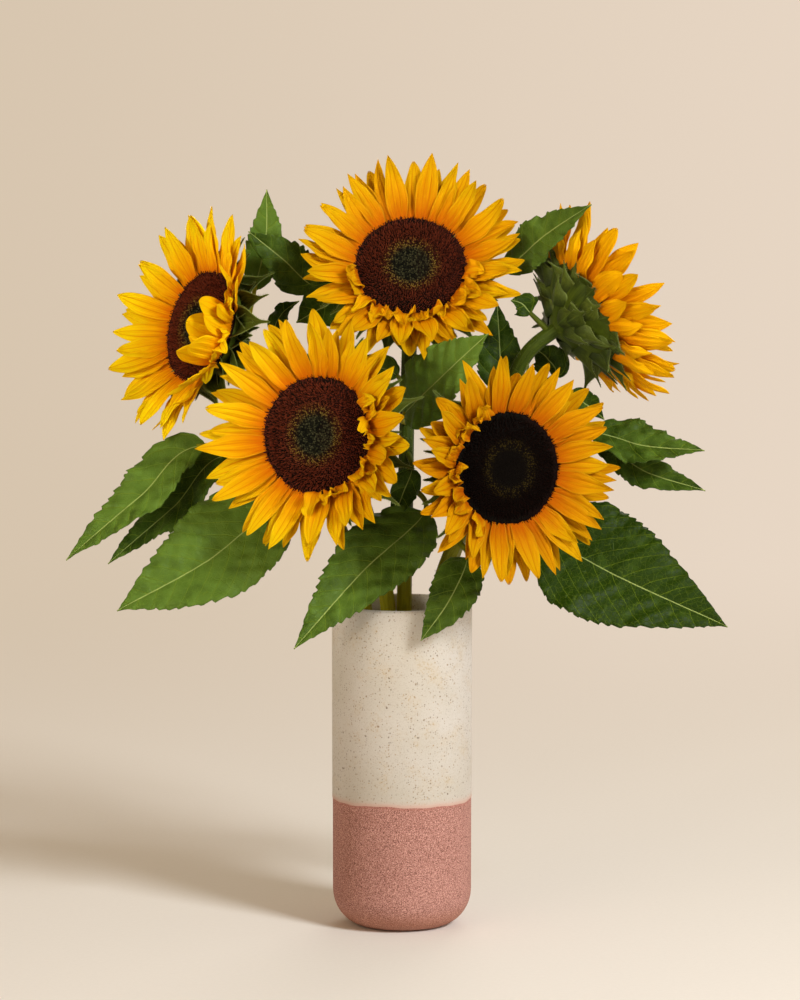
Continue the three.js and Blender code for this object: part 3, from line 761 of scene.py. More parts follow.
def vase_material():
    """Cream glaze with brown specks above the line, sandy pink clay below it."""
    s = Shader("stoneware")
    where, glazed = s.where(), s.tone()
    cloud = s.span(s.noise(where, 14.0, 3.0), 0.35, 0.65)
    mottle = s.noise(where, 60.0, 4.0, 0.6)
    grainy = s.span(s.noise(where, 520.0, 3.0, 0.7), 0.5, 0.66)
    sand = s.noise(where, 1450.0, 3.0, 0.7)
    cream = s.tints(
        s.mix(cloud, rgb(188, 180, 168), rgb(198, 191, 183)),
        (s.span(mottle, 0.5, 0.75), 0.35, rgb(194, 178, 152)),
        (s.times(s.span(mottle, 0.45, 0.66), grainy), 0.45, rgb(172, 142, 98)),
        (s.span(sand, 0.5, 0.66), 0.34, rgb(150, 136, 112)),
    )
    wander = s.add("TexNoise", {"Vector": where, "Scale": 900.0}).outputs[1]
    ragged = s.mix(0.0008, where, wander)
    for scale, size, share, dark in GLAZE_SPECKS:
        cells = s.add("TexVoronoi", {"Vector": ragged, "Scale": scale}, feature="F1")
        chance = s.add("SeparateColor", {0: cells.outputs["Color"]}).outputs
        reach = s.times(s.plus(chance[1], 0.35), size)
        near = s.span(cells.outputs["Distance"], reach, s.times(reach, 0.4))
        chosen = s.times(near, s.math("LESS_THAN", chance[0], share))
        brown = s.mix(chance[2], rgb(74, 54, 34), rgb(164, 134, 96))
        cream = s.tints(cream, (chosen, dark, brown))
    cream = s.mix(s.span(glazed, 0.92, 0.5), cream, rgb(196, 164, 150))
    edge = s.times(s.span(glazed, 0.0, 0.2), s.span(glazed, 0.4, 0.3))
    clay = s.tints(
        s.mix(cloud, rgb(174, 121, 109), rgb(184, 131, 119)),
        (s.span(sand, 0.51, 0.39), 0.9, rgb(96, 56, 46)),
        (s.span(sand, 0.53, 0.64), 0.68, rgb(228, 182, 167)),
        (s.span(s.noise(where, 700.0, 2.0, 0.6), 0.6, 0.68), 0.4, rgb(100, 60, 48)),
        (s.span(s.split(where)[2], 0.02, 0.004), 0.35, rgb(172, 112, 72)),
        (edge, 0.35, rgb(164, 100, 86)),
    )
    color = s.mix(s.span(glazed, 0.3, 0.42), clay, cream)
    rough = s.minus(0.9, s.times(glazed, 0.42))
    fine = s.times(sand, s.minus(1.0, glazed))
    soft = s.times(s.times(mottle, 0.5), glazed)
    more = {"Normal": s.bump(s.plus(fine, soft), 0.0005, 0.5), "Specular IOR Level": 0.4}
    return s.finish(s.principled(color, rough, more))


def water_material():
    s = Shader("water")
    where = s.where()
    ripple = s.bump(s.noise(where, 40.0, 2.0), 0.0004, 0.15)
    tint = s.mix(s.noise(where, 18.0, 2.0), (0.80, 0.88, 0.84, 1), (0.86, 0.92, 0.88, 1))
    more = {"Transmission Weight": 1.0, "IOR": 1.33, "Normal": ripple}
    return s.finish(s.principled(tint, 0.03, more))


# ------------------------------------------------------------ the vase and the water


def vase_profile():
    """The vase's outline from the foot's middle to the floor's, and how glazed each point is."""
    radius, height, wall = VASE["radius"], VASE["height"], VASE["wall"]
    clay = radius - VASE["glaze_step"]
    foot, corner = VASE["foot_radius"], VASE["corner_height"]
    line, lip = VASE["glaze_line"], VASE["lip_round"]
    bare = [(0, 0), (foot - 3, 0), (foot, 0)]
    for turn in np.linspace(0, math.pi / 2, 17)[1:]:
        bare.append((foot + (clay - foot) * math.sin(turn), corner * (1 - math.cos(turn))))
    bare += [(clay, corner + (line - corner) * share) for share in (0.25, 0.5, 0.75)]
    edge = [(radius + out, line + up) for out, up, _ in GLAZE_EDGE]
    coated = [(radius, z) for z in np.linspace(line + 20, height - lip - 4, 8)]
    middle, half = radius - wall / 2, wall / 2
    for turn in np.linspace(0, math.pi, 15):
        coated.append((middle + half * math.cos(turn), height - lip + lip * math.sin(turn)))
    coated += [(radius - wall - inward, VASE["floor"] + up) for inward, up in INSIDE_CORNER]
    coated.append((0, VASE["floor"]))
    glazed = [0] * len(bare) + [share for *_, share in GLAZE_EDGE] + [1] * len(coated)
    return bare + edge + coated, glazed


def uneven_line(radius, height, turns):
    """The glaze ends a little higher or lower round the vase."""
    near = bell(height - VASE["glaze_line"], VASE["glaze_wander"])
    wave = 0.5 * np.sin(turns * 3 + 0.7) + 0.35 * np.sin(turns * 7 + 2) + 0.2 * np.sin(turns * 17)
    return radius, height + near * wave


def make_vase():
    pile = Pile()
    profile, glazed = vase_profile()
    add_lathe(pile, profile, VASE["sides"], tone=glazed, wobble=uneven_line)
    pile.piece("vase_body", [vase_material()], "stoneware", "vase")


# ------------------------------------------------------------ the flower heads


def head_frame(flower):
    azimuth, elevation = math.radians(flower["azimuth"]), math.radians(flower["elevation"])
    level = math.cos(elevation)
    axis = np.array([math.sin(azimuth) * level, -math.cos(azimuth) * level, math.sin(elevation)])
    across = unit(np.cross([0, 0, 1], axis))
    matrix = np.eye(4)
    matrix[:3, :3] = np.stack([across, np.cross(axis, across), axis], 1) * flower["size"]
    matrix[:3, 3] = flower["centre"]
    return matrix


def petal_width(along, blunt):
    """A petal's width along it, as a share of the greatest."""
    claw = 0.56 + 0.44 * np.sin(np.minimum(along / 0.5, 1) * math.pi / 2)
    return claw * (1 - along ** (2.3 + blunt))


def bract_width(along):
    """A bract's width along it: a broad oval that draws out to a thin point."""
    base = 0.66 + 0.34 * np.sin(np.minimum(along / 0.32, 1) * math.pi / 2)
    share = ramp(along, 0.4, 0.86)
    return 1.12 * base * (1 - 0.85 * share**2 * (3 - 2 * share)) * (1 - along) ** 0.3


def radial_grid(blade, along, across, half, lift, pull=0.0):
    """Middle points of a blade that grows out of the head at an angle round its axis. Its
    pitch, out of the head's plane, changes evenly from root to tip. `lift` raises each point
    off the blade's own plane, and `pull` moves it along."""
    pitch, bend = math.radians(blade["pitch"]), math.radians(blade["bend"])
    outward = np.array([math.cos(blade["angle"]), math.sin(blade["angle"]), 0])
    axis = np.array([0.0, 0.0, 1.0])
    lean = pitch + bend * along
    scale = blade["length"] / bend
    r = blade["root_r"] + scale * (np.sin(lean) - math.sin(pitch))
    n = blade["root_n"] - scale * (np.cos(lean) - math.cos(pitch))
    centre = r[:, None] * outward + n[:, None] * axis
    level = np.cross(outward, axis)
    forward = np.cos(lean)[:, None] * outward + np.sin(lean)[:, None] * axis
    normal = -np.sin(lean)[:, None] * outward + np.cos(lean)[:, None] * axis
    turn = math.radians(blade["twist"]) * along
    side = level * np.cos(turn)[:, None] + normal * np.sin(turn)[:, None]
    up = normal * np.cos(turn)[:, None] - level * np.sin(turn)[:, None]
    wide = half[:, None] * across[None, :]
    shift = np.broadcast_to(np.asarray(pull, float), wide.shape)
    return spread(centre, (side, wide), (up, lift), (forward, shift))


def curl_at(flower, angle):
    at, by, focus = flower["curl"]
    return by * max(0, math.cos(math.radians(angle - at))) ** focus


def petal_list(flower, number):
    random = make_random(number)
    petals = []
    for layer in PETAL_LAYERS:
        for i in range(layer["count"]):
            draws = [random() * 2 - 1 for _ in range(7)]
            angle = (i + layer["offset"] + 0.15 * draws[0]) / layer["count"] * 360
            curl = curl_at(flower, angle)
            lobe = ramp(curl, 36, 48)
            petals.append({
                "angle": math.radians(angle),
                "root_r": PETAL["root_r"],
                "root_n": layer["root_n"],
                "length": PETAL["length"] * (1 + 0.09 * draws[1]) * (1 - 0.2 * lobe),
                "width": PETAL["width"] * (1 + 0.12 * draws[2]) * (1 + 0.2 * lobe),
                "pitch": layer["cup"] + flower["cup"] + 3 * draws[3] + curl,
                "bend": 3.5 + 9 * draws[4] + 12 * lobe,
                "trough": 0.14 + 0.16 * draws[5],
                "twist": 14 * draws[6],
                "crumple": PETAL["crumple"],
                "blunt": flower["blunt"] + 2.5 * lobe,
            })
    return petals


def loose_petals(flower, layer, count, chance, curls=True):
    """Petals whose form is drawn within their layer's ranges."""
    petals = []
    for i in range(count):
        stray = chance.uniform(-layer["stray"], layer["stray"])
        angle = (i + layer["offset"] + stray) / count * 360
        curl = curl_at(flower, angle) * chance.uniform(0.4, 1.0) if curls else 0
        drawn = {key: chance.uniform(*layer[key]) for key in DRAWN}
        petals.append({
            "blunt": flower["blunt"],
            **layer,
            **drawn,
            "angle": math.radians(angle),
            "length": PETAL["length"] * drawn["length"] * (1 - 0.004 * curl),
            "width": PETAL["width"] * drawn["width"],
            "pitch": layer["cup"] + flower["cup"] + drawn["pitch"] + curl,
        })
    return petals


def inner_petals(flower, chance):
    inner = flower["inner"]
    petals = []
    for i in range(inner["count"]):
        share = (i + 0.5) / inner["count"] - 0.5
        angle = inner["at"] + inner["spread"] * share + chance.uniform(-6, 6)
        drawn = {key: chance.uniform(*INNER_LAYER[key]) for key in DRAWN}
        drawn["pitch"] += flower["cup"] * 0.5
        petals.append({**INNER_LAYER, **drawn, "angle": math.radians(angle)})
    return petals


def petal_half(petal, along, notched, chance):
    """Half the petal's width along it. A notched tip is the broader one."""
    whole = petal["width"] / 2
    keep = chance.uniform(0.10, 0.2) if notched else 0.02
    half = whole * petal_width(along, chance.uniform(-0.3, 1.0) + petal["blunt"]) * 1.04
    half = half * (1 - keep) + whole * keep * np.minimum(1, (1 - along) * 6 + 0.55)
    half = half * (1 + 0.05 * np.sin(along * chance.uniform(6, 12) + chance.uniform(0, TURN)))
    half[-1] = max(half[-1] * 0.6, 0.2)
    return half


def petal_relief(petal, u, s, half, chance):
    """How far each point is off the petal's own plane, by its folds, trough, ruffles and tip."""
    size = half[:, None] / (petal["width"] / 2)
    open_up = np.sin(np.clip(s * 1.15, 0, 1) * math.pi)
    folds = chance.uniform(*PETAL["folds"])
    ridge = 0.46 * np.cos(u * TURN * folds + chance.uniform(-0.5, 0.5))
    ridge = ridge + 0.12 * np.cos(u * TURN * PETAL["threads"])
    ridge = ridge * size * (0.35 + 0.65 * open_up)
    trough = petal["trough"] * np.abs(u) ** 1.4 * half[:, None] * (1 + 1.1 * s**2)
    phase = chance.uniform(0, TURN, 4)
    ruffle = np.sin(s * chance.uniform(9, 17) + phase[0] + (u > 0) * phase[1]) * np.abs(u) ** 2.5
    wave = np.sin(s * chance.uniform(4, 8) + phase[2] + u * 1.5)
    crumple = petal["crumple"]
    lift = trough + ridge + ruffle * size * (0.35 + 2.2 * crumple) + wave * size * (0.25 + 0.9 * crumple)
    return lift + chance.uniform(-4, 7) * np.maximum(s - 0.55, 0) ** 2 * 4


def add_petal(pile, petal, matrix, tone, chance):
    """`u` runs from -1 to 1 across the petal and `s` from 0 at its claw to 1 at its tip."""
    along, across = np.linspace(0, 1, PETAL_GRID[0]), np.linspace(-1, 1, PETAL_GRID[1])
    u, s = np.meshgrid(across, along)
    notched = chance.random() < 0.4
    half = petal_half(petal, along, notched, chance)
    lift = petal_relief(petal, u, s, half, chance)
    notch = -2.4 * bell(u, 0.4) * s**10 if notched else 0.0
    sway = chance.uniform(-1.4, 1.4) * (1 + petal["crumple"])
    veer = chance.uniform(-3.2, 3.2)
    middle = radial_grid(petal, along, across, half, lift, notch)
    level = np.cross([math.cos(petal["angle"]), math.sin(petal["angle"]), 0], [0, 0, 1.0])
    middle = middle + level * (sway * np.sin(s * math.pi * 0.9) + veer * s**2)[..., None]
    thick = PETAL["thickness"] * (1 - 0.55 * np.abs(u) ** 3) * (1 - 0.3 * s)
    shade = np.clip(tone + chance.uniform(-0.18, 0.18), 0, 1)
    middle = move(middle, matrix)
    add_sheet(pile, middle, thick, u, s, chance.uniform(0.05, 9), shade)


# The ring where the petals' claws meet, as (radius, height).
CLAW_RING = ((0, -3.7), (39.4, -3.7), (40.2, -2), (39.6, -0.5), (37.6, -0.6), (0, -2.5))


def make_petals(flower, number, material, disc_look):
    chance = draws_for("petals", number)
    pile = Pile()
    matrix = head_frame(flower)
    add_lathe(pile, CLAW_RING, HEAD["sides"], matrix, 0.6, slot=1)
    petals = petal_list(flower, number)
    petals += loose_petals(flower, MIDDLE_LAYER, flower["between"], chance)
    petals += inner_petals(flower, chance)
    petals += loose_petals(flower, BACK_LAYER, flower["behind"], chance, curls=False)
    for petal in petals:
        add_petal(pile, petal, matrix, flower["warm"], chance)
    pile.piece(f"ray_petals_{number}", [material, disc_look], "petal", f"petals_{number}")


def disc_height(r):
    dip = DISC["dip"] * bell(r, DISC["dip_radius"])
    return DISC["edge_height"] + DISC["dome"] * (1 - (r / DISC["radius"]) ** 4) - dip


GOLDEN_ANGLE = 137.508
FLORET_SIDES = 5
# A floret's rings: how far along it each is, and how wide.
FLORET_RINGS = ((0.0, 1.0), (0.5, 0.86), (0.84, 0.4))


def floret_faces():
    """Faces of one floret: its sides, its point and its bottom."""
    sides, rings = FLORET_SIDES, len(FLORET_RINGS)
    faces = [*grid_faces(rings, sides, True)]
    last, point = (rings - 1) * sides, rings * sides
    faces += [np.array([last + corner, last + (corner + 1) % sides, point]) for corner in range(sides)]
    return [*faces, np.arange(sides)[::-1]]


def add_florets(pile, matrix, tone, chance):
    """Florets set in spirals, closed buds in the middle and open spikes outside."""
    count = DISC["florets"]
    k = np.arange(count)
    share = np.sqrt((k + 0.5) / count)
    r = share * (DISC["radius"] + 2.2) + chance.uniform(-0.2, 0.2, count)
    turns = k * math.radians(GOLDEN_ANGLE) + chance.uniform(-0.02, 0.02, count)
    outward = np.stack([np.cos(turns), np.sin(turns), np.zeros(count)], 1)
    sideways = np.stack([-np.sin(turns), np.cos(turns), np.zeros(count)], 1)
    slope = (disc_height(r + 0.5) - disc_height(r - 0.5))[:, None]
    level = np.maximum(disc_height(np.minimum(r, DISC["radius"])), -0.9) - 0.8
    root = outward * r[:, None] + np.array([0, 0, 1.0]) * level[:, None]
    up = unit(np.array([0, 0, 1.0]) - outward * slope * 0.6)
    lean = ramp(share, 0.72, 1) ** 1.5 * 0.8
    tilt = outward * lean[:, None] + sideways * chance.normal(0, 0.16, count)[:, None]
    tilt += outward * chance.normal(0, 0.14, count)[:, None] * (share > 0.45)[:, None]
    direction = unit(up + tilt)
    opened = ramp(share, 0.42, 0.58)
    length = 1.2 + opened * chance.uniform(0.5, 1.9, count) + ramp(share, 0.85, 1) * 0.8
    width = 0.68 - opened * chance.uniform(0.12, 0.28, count)
    side = unit(np.cross(direction, outward + 0.01))
    third = np.cross(direction, side)
    own = chance.uniform(0.02, 0.98, count)
    rings, places = [], []
    for high, wide in FLORET_RINGS:
        flare = 1 + (opened * 0.25 if high > 0.8 else 0)
        for turn in np.arange(FLORET_SIDES) / FLORET_SIDES * TURN:
            spoke = side * math.cos(turn) + third * math.sin(turn)
            reach = spoke * (width * wide * flare)[:, None]
            rings.append(root + direction * (length * high)[:, None] + reach)
            places.append(np.stack([share, np.full(count, high), own], 1))
    rings.append(root + direction * (length * (1 - 0.12 * opened))[:, None])
    places.append(np.stack([share, np.ones(count), own], 1))
    points, places = np.stack(rings, 1), np.stack(places, 1)
    start = np.arange(count)[:, None] * points.shape[1]
    faces = [start + corners for corners in floret_faces()]
    pile.add(move(points, matrix), faces, places, tone)


def make_disc(flower, number, material):
    pile = Pile()
    matrix = head_frame(flower)
    radii = np.linspace(0, DISC["radius"], DISC["rings"])
    dome = [(r, disc_height(r) - 0.5) for r in radii]
    profile = [(0, DISC["bottom"]), (DISC["radius"] - 0.5, DISC["bottom"]), *dome[::-1]]
    add_lathe(pile, profile, DISC["sides"], matrix, 0.35 + 0.65 * flower["disc"])
    add_florets(pile, matrix, flower["disc"], draws_for("disc", number))
    pile.piece(f"disc_florets_{number}", [material], "floret_disc", f"disc_{number}")


# ------------------------------------------------------------ stems, bracts and leaves


def stem_points(flower):
    (foot_x, foot_y), *rest = flower["stem"]
    matrix = head_frame(flower)
    neck = move(np.array([0, 0, 2 - HEAD["neck_depth"]]), matrix)
    heart = move(np.array([0, 0, -14.0]), matrix)
    return [(foot_x, foot_y, STEM["foot"]), *rest, tuple(neck), tuple(heart)]


def stem_point_at(points, height):
    samples = catmull_rom(points, np.arange(1, STEM["samples"] + 1) / STEM["samples"])
    above = np.nonzero(samples[:, 2] >= height)[0]
    return samples[above[0]] if len(above) else samples[-1]


def add_head_back(pile, matrix, own):
    """The back of the head, which the stem runs into."""
    neck, deep = HEAD["neck_radius"], HEAD["neck_depth"]
    dish, back = HEAD["dish_radius"], HEAD["back_depth"]
    outline = [(0, -deep), (neck - 1, -deep), (neck, 1 - deep), (neck + 8, 6 - deep)]
    outline += [(dish * 0.75, -14.5), (dish - 2, -9), (dish + 1, -6), (dish + 1, 1 - back), (0, 1 - back)]
    smooth = catmull_rom([(r, z, 0) for r, z in outline[1:-1]], np.linspace(0, 1, 30))[:, :2]
    smooth[:, 0] = np.minimum(smooth[:, 0], dish + 1)
    # The head's back takes the stem's darkest tone, its painted shade.
    add_lathe(pile, [outline[0], *smooth, outline[-1]], HEAD["sides"], matrix, 1.0, own)


def add_stem_hairs(pile, path, radii, chance):
    tangent, side, up = frames_along(path, (1, 0, 0))
    count = STEM["hairs"]
    at = chance.integers(35, len(path) - 6, count)
    turns = chance.uniform(0, TURN, count)
    spoke = side[at] * np.cos(turns)[:, None] + up[at] * np.sin(turns)[:, None]
    roots = path[at] + spoke * (radii[at] - 0.1)[:, None]
    roots += tangent[at] * chance.uniform(-2, 2, count)[:, None]
    lean = spoke + chance.normal(0, 0.35, (count, 3))
    add_hairs(pile, roots, lean, chance.uniform(0.8, 2.4, count), 0.09)


def make_stalk(flower, number, material, hair):
    """The stem with its ribs and hairs, darker towards the head as painted shade, and the head's back."""
    pile = Pile()
    curve = catmull_rom(stem_points(flower), np.linspace(0, 1, STEM["samples"]))
    path = evenly(curve, STEM["points"])
    height = path[:, 2]
    radii = STEM["radius"] * (0.97 + 0.03 * np.sin(height / 23 + number))
    # How far up the stem is painted dark: painted light below, at the vase's mouth, and painted shade
    # towards the head.
    dark = ramp(height, 235, 295)
    add_tube(pile, path, radii, STEM["sides"], (1, 0, 0), number, dark, STEM["ribs"])
    add_head_back(pile, head_frame(flower), number)
    add_stem_hairs(pile, path, radii, draws_for("stalk", number))
    pile.piece(f"stalk_{number}", [material, hair], "greenery", f"stem_{number}")


def bract_trim(flower, angle):
    """The share by which a bract at this angle is shorter than the rest."""
    at, by = flower["bract_trim"]
    return by / 2 * (1 + math.cos(math.radians(angle - at)))


def bract_list(flower, number):
    random = make_random(number + 40)
    bracts = []
    for row in BRACT_ROWS:
        for i in range(row["count"]):
            draws = [random() * 2 - 1 for _ in range(5)]
            angle = (i + row["offset"] + 0.15 * draws[0]) / row["count"] * 360
            trim = bract_trim(flower, angle)
            bracts.append({
                "angle": math.radians(angle),
                "root_r": row["root_r"],
                "root_n": row["root_n"],
                "length": BRACT["length"] * (1 + 0.15 * draws[1]) * (1 - trim),
                "width": BRACT["width"] * (1 + 0.1 * draws[2]),
                "pitch": row["pitch"] + flower["cup"] + 2 * draws[3],
                "bend": -8 + 7 * draws[4],
                "twist": 0,
            })
    return bracts


def more_bracts(flower, chance):
    """The rows between, close under the petals and low on the back of the head."""
    lean = flower["cup"] / BRACT_ROWS[0]["root_r"]
    bracts = []
    for row in (dict(zip(BRACT_KEYS, values)) for values in EXTRA_BRACTS):
        for i in range(row["count"]):
            angle = (i + chance.uniform(-0.2, 0.2)) / row["count"] * 360
            trim = row["trim"] * bract_trim(flower, angle)
            bracts.append({
                "angle": math.radians(angle),
                "root_r": row["root_r"],
                "root_n": row["root_n"],
                "length": row["length"] * chance.uniform(0.85, 1.12) * (1 - trim),
                "width": row["width"] * chance.uniform(0.85, 1.1) * (1 - 0.3 * trim),
                "pitch": row["pitch"] + lean * row["root_r"] + chance.uniform(-6, 6),
                "bend": chance.uniform(14, 44),
                "twist": chance.uniform(-14, 14),
            })
    return bracts


def add_edge_hairs(pile, middle, column, chance):
    """Three hairs between each two points of one edge of a blade."""
    edge = middle[:, column]
    picked = np.repeat(np.arange(1, len(edge) - 1), 3)
    shift = chance.uniform(0, 1, len(picked))[:, None]
    roots = edge[picked] * (1 - shift) + edge[picked + 1] * shift
    outward = unit(edge[picked] - middle[picked, middle.shape[1] // 2])
    forward = unit(edge[picked + 1] - edge[picked])
    lean = outward + forward * 0.6 + chance.normal(0, 0.3, roots.shape)
    add_hairs(pile, roots, lean, chance.uniform(0.7, 2.0, len(picked)), 0.08)


def make_bracts(flower, number, material, hair):
    chance = draws_for("bracts", number)
    pile = Pile()
    matrix = head_frame(flower)
    along, across = np.linspace(0, 1, BRACT_GRID[0]), np.linspace(-1, 1, BRACT_GRID[1])
    u, s = np.meshgrid(across, along)
    for bract in bract_list(flower, number) + more_bracts(flower, chance):
        half = np.maximum(bract["width"] / 2 * bract_width(along), 0.4 * (1.15 - along))
        phase = chance.uniform(0, TURN, 2)
        ruffle = 0.7 * np.sin(s * 11 + phase[0] + (u > 0) * phase[1]) * np.abs(u) ** 2
        lift = 0.6 * np.abs(u) ** 1.8 * half[:, None] + ruffle * half[:, None] / 12
        lift -= 0.5 * bell(u, 0.12) * (1 - s)
        curl_back = -chance.uniform(1, 8) * s**3
        middle = move(radial_grid(bract, along, across, half, lift + curl_back), matrix)
        thick = BRACT["thickness"] * (1 - 0.6 * np.abs(u) ** 2) * (1 - 0.4 * s)
        add_sheet(pile, middle, thick, u, s, chance.uniform(0.05, 9), chance.uniform(0, 1))
        for column in (0, -1):
            add_edge_hairs(pile, middle, column, chance)
    pile.piece(f"bract_blades_{number}", [material, hair], "greenery", f"stem_{number}")


def leaf_outline(along):
    """Half the width of a leaf blade, as a share of its greatest, from base (0) to tip (1)."""
    rise, fall = 0.6, 1.15
    widest = rise / (rise + fall)
    return (along / widest) ** rise * ((1 - along) / (1 - widest)) ** fall


def toothed_edges(v, width, teeth, chance):
    """For both edges, how far out each point of the blade's line reaches, as a share of the
    blade's width, and how far forward. A tooth runs outwards and forwards, and then drops back
    to the next."""
    reach, forward = [], []
    for _ in range(2):
        phase = (v * teeth + 0.3 * np.sin(v * chance.uniform(11, 19)) + chance.uniform(0, 1)) % 1
        size = chance.uniform(0.45, 1.5, teeth + 2)[(v * teeth + phase).astype(int).clip(0, teeth + 1)]
        tooth = np.where(phase < 0.75, phase / 0.75, (1 - phase) / 0.25)
        depth = np.minimum(1.7, 0.11 * width) * size
        reach.append(1 - depth * (1 - tooth) / np.maximum(width, 0.5))
        forward.append(tooth * depth * 0.8)
    return np.stack(reach, 1), np.stack(forward, 1)


def leaf_relief(u, x, y, wide, share, chance):
    """The blade's ripples, side veins and puckers, in mm. `x` is the distance from the midrib
    and `y` the length along it, in cm."""
    phase = chance.uniform(0, TURN, 4)
    ripple = np.sin(y * chance.uniform(2.2, 3.0) + phase[0]) * (u < 0)
    ripple = ripple + np.sin(y * chance.uniform(2.2, 3.0) + phase[1]) * (u > 0)
    row = (y - VEIN["lead"] * x ** VEIN["bend"]) / VEIN["gap"] + 0.5 * (u > 0)
    off = np.abs(row % 1 - 0.5) * VEIN["gap"]
    vein = bell(off, VEIN["width"]) * np.minimum(1, np.abs(u) * 5) * np.minimum(1, x * 2)
    turns = chance.uniform(2.2, 5.5, (4, 2)) * chance.choice([-1, 1], (4, 2))
    shifts = chance.uniform(0, TURN, 4)
    pucker = sum(np.sin(a * wide + b * y + c) for (a, b), c in zip(turns, shifts))
    pucker = pucker * np.minimum(1, x) * np.sqrt(share)
    midrib = bell(x, MIDRIB["width"])
    lift = 1.3 * ripple * np.abs(u) ** 3 * share - VEIN["depth"] * vein
    return lift + LEAF["pucker"] * pucker - MIDRIB["depth"] * midrib


# A leaf's line runs from the stem over the blade's base and middle to its tip. The share of it
# that is stalk:
BLADE_START = 1 / 3


def add_leaf_stalk(pile, line, light, chance):
    """The stalk, which ends a little way inside the blade."""
    count, sides = LEAF["stalk_points"], LEAF["stalk_sides"]
    path = catmull_rom(line, np.linspace(0, BLADE_START + 0.03, count))
    radii = np.linspace(1.25, 0.75, count) * LEAF["stalk_radius"]
    # The stalk darkens with its leaf's tone, so it carries the same painted shade.
    own, dark = chance.uniform(1, 9), 1 - 0.6 * light
    add_tube(pile, path, radii, sides, (0, 0, 1.0), own, dark, LEAF["stalk_ribs"], 1)


def add_leaf(pile, leaf, points, chance):
    """One leaf: its stalk, and a toothed blade that folds along its midrib."""
    line = [stem_point_at(points, leaf["at"]), leaf["base"], leaf["middle"], leaf["tip"]]
    add_leaf_stalk(pile, line, leaf["light"], chance)
    length = length_along(np.array(line[1:], float))[-1]
    solid_teeth = max(3, round(length / LEAF["solid_tooth"]))
    teeth = max(5, round(length / LEAF["tooth"]))
    v = np.linspace(0, 1, teeth * TOOTH_STEPS + 1)
    centre = catmull_rom(line, BLADE_START + (1 - BLADE_START) * v)
    tangent = unit(np.gradient(centre, axis=0))
    face = unit(leaf["face"])
    up = unit(face - tangent * (tangent @ face)[:, None])
    side = np.cross(tangent, up)
    share = leaf_outline(v)[:, None]
    width = np.maximum(leaf["width"] / 2 * share, 0.3)

    across = np.linspace(-1, 1, LEAF_COLUMNS)
    across = np.sign(across) * np.abs(across) ** 0.85
    u, s = np.meshgrid(across, v)
    reach, forward = toothed_edges(v, width[:, 0], teeth, chance)
    grow = np.where(u < 0, reach[:, :1], reach[:, 1:])
    wide = u * (1 + (grow - 1) * np.abs(u) ** 3)
    ahead = np.where(u < 0, forward[:, :1], forward[:, 1:]) * np.abs(u) ** 6
    x = width * np.abs(wide) / 10
    y = np.broadcast_to(length_along(centre)[:, None] / 10, u.shape)

    fold = math.radians(leaf["fold"])
    flat = width * wide * math.cos(fold)
    wave = LEAF["wave"] * share * np.sin(1.1 * (3 + 2 * solid_teeth * v))[:, None]
    arch = 0.1 * leaf["width"] * share * (np.abs(u) - u**2)
    lift = np.abs(wide) * width * math.sin(fold) - wave * u * np.abs(u) + arch
    lift = lift + leaf_relief(u, x, y, width * wide / 10, share, chance)
    middle = spread(centre, (side, flat), (up, lift), (tangent, ahead))
    thick = LEAF["thickness"] * (1 + 1.6 * bell(x, MIDRIB["ridge"]) * (1 - 0.7 * s))
    add_sheet(pile, middle, thick, width * wide / 10, y, chance.uniform(0.05, 9), leaf["light"])


def make_leaves(flower, number, leaf_look, stem_look):
    chance = draws_for("leaves", number)
    pile = Pile()
    points = stem_points(flower)
    for values in flower["leaves"]:
        add_leaf(pile, dict(zip(LEAF_KEYS, values)), points, chance)
    pile.piece(f"leaf_blades_{number}", [leaf_look, stem_look], "greenery", f"stem_{number}")


# ------------------------------------------------------------ the stage

STAGE = {"flat": 5000.0, "radius": 9000.0, "height": 3200.0, "sides": 96}
STAGE_RINGS = (200, 500, 1000, 2000, 3500)


def backdrop_color(s, x, squares):
    """The studio's beige, with painted light making it a little lighter towards +X, the key lamp's side,
    by the place of a point in metres.
    """
    reach = s.math("SQRT", s.plus(squares, 2.25))
    # Painted light: lighter towards +X, the key lamp's side.
    share = s.span(s.math("DIVIDE", x, reach), -0.22, 0.22)
    return s.mix(share, rgb(214, 196, 173), rgb(232, 215, 197))


def floor_material():
    """Pale paper near the vase that turns into the glowing backdrop, with its painted light, further out.
    """
    s = Shader("studio_floor")
    where = s.where()
    x, y, _ = s.split(where)
    squares = s.plus(s.times(x, x), s.times(y, y))
    paper = s.mix(s.noise(where, 300.0, 2.0), rgb(230, 224, 218), rgb(235, 229, 223))
    near = s.principled(paper, 0.9, {"Specular IOR Level": 0.1})
    beige = backdrop_color(s, x, squares)
    far = s.add("Emission", {"Color": beige, "Strength": 1.0}).outputs[0]
    share = s.span(s.math("SQRT", squares), 0.35, 2.2)
    return s.finish(s.add("MixShader", {0: share, 1: near, 2: far}).outputs[0])


def make_stage():
    """A round floor whose edge rises, so that no view sees past it."""
    flat, radius, height, sides = (STAGE[key] for key in ("flat", "radius", "height", "sides"))
    profile = [(r, 0.0) for r in (*STAGE_RINGS, flat)]
    for turn in np.linspace(0, math.pi / 2, 12)[1:]:
        profile.append((flat + (radius - flat) * math.sin(turn), height * (1 - math.cos(turn))))
    turns = np.arange(sides) / sides * TURN
    ring = np.array([[(r * math.cos(t), r * math.sin(t), z) for t in turns] for r, z in profile])
    points = np.vstack([ring.reshape(-1, 3), [0, 0, 0]]) * MM
    faces = grid_faces(len(profile), sides, True)[:, ::-1].tolist()
    faces += [[i, (i + 1) % sides, len(points) - 1] for i in range(sides)]
    mesh = bpy.data.meshes.new("studio_floor")
    mesh.from_pydata(points.tolist(), [], faces)
    mesh.polygons.foreach_set("use_smooth", [True] * len(faces))
    mesh.materials.append(floor_material())
    floor = link(bpy.data.objects.new("studio_floor", mesh))


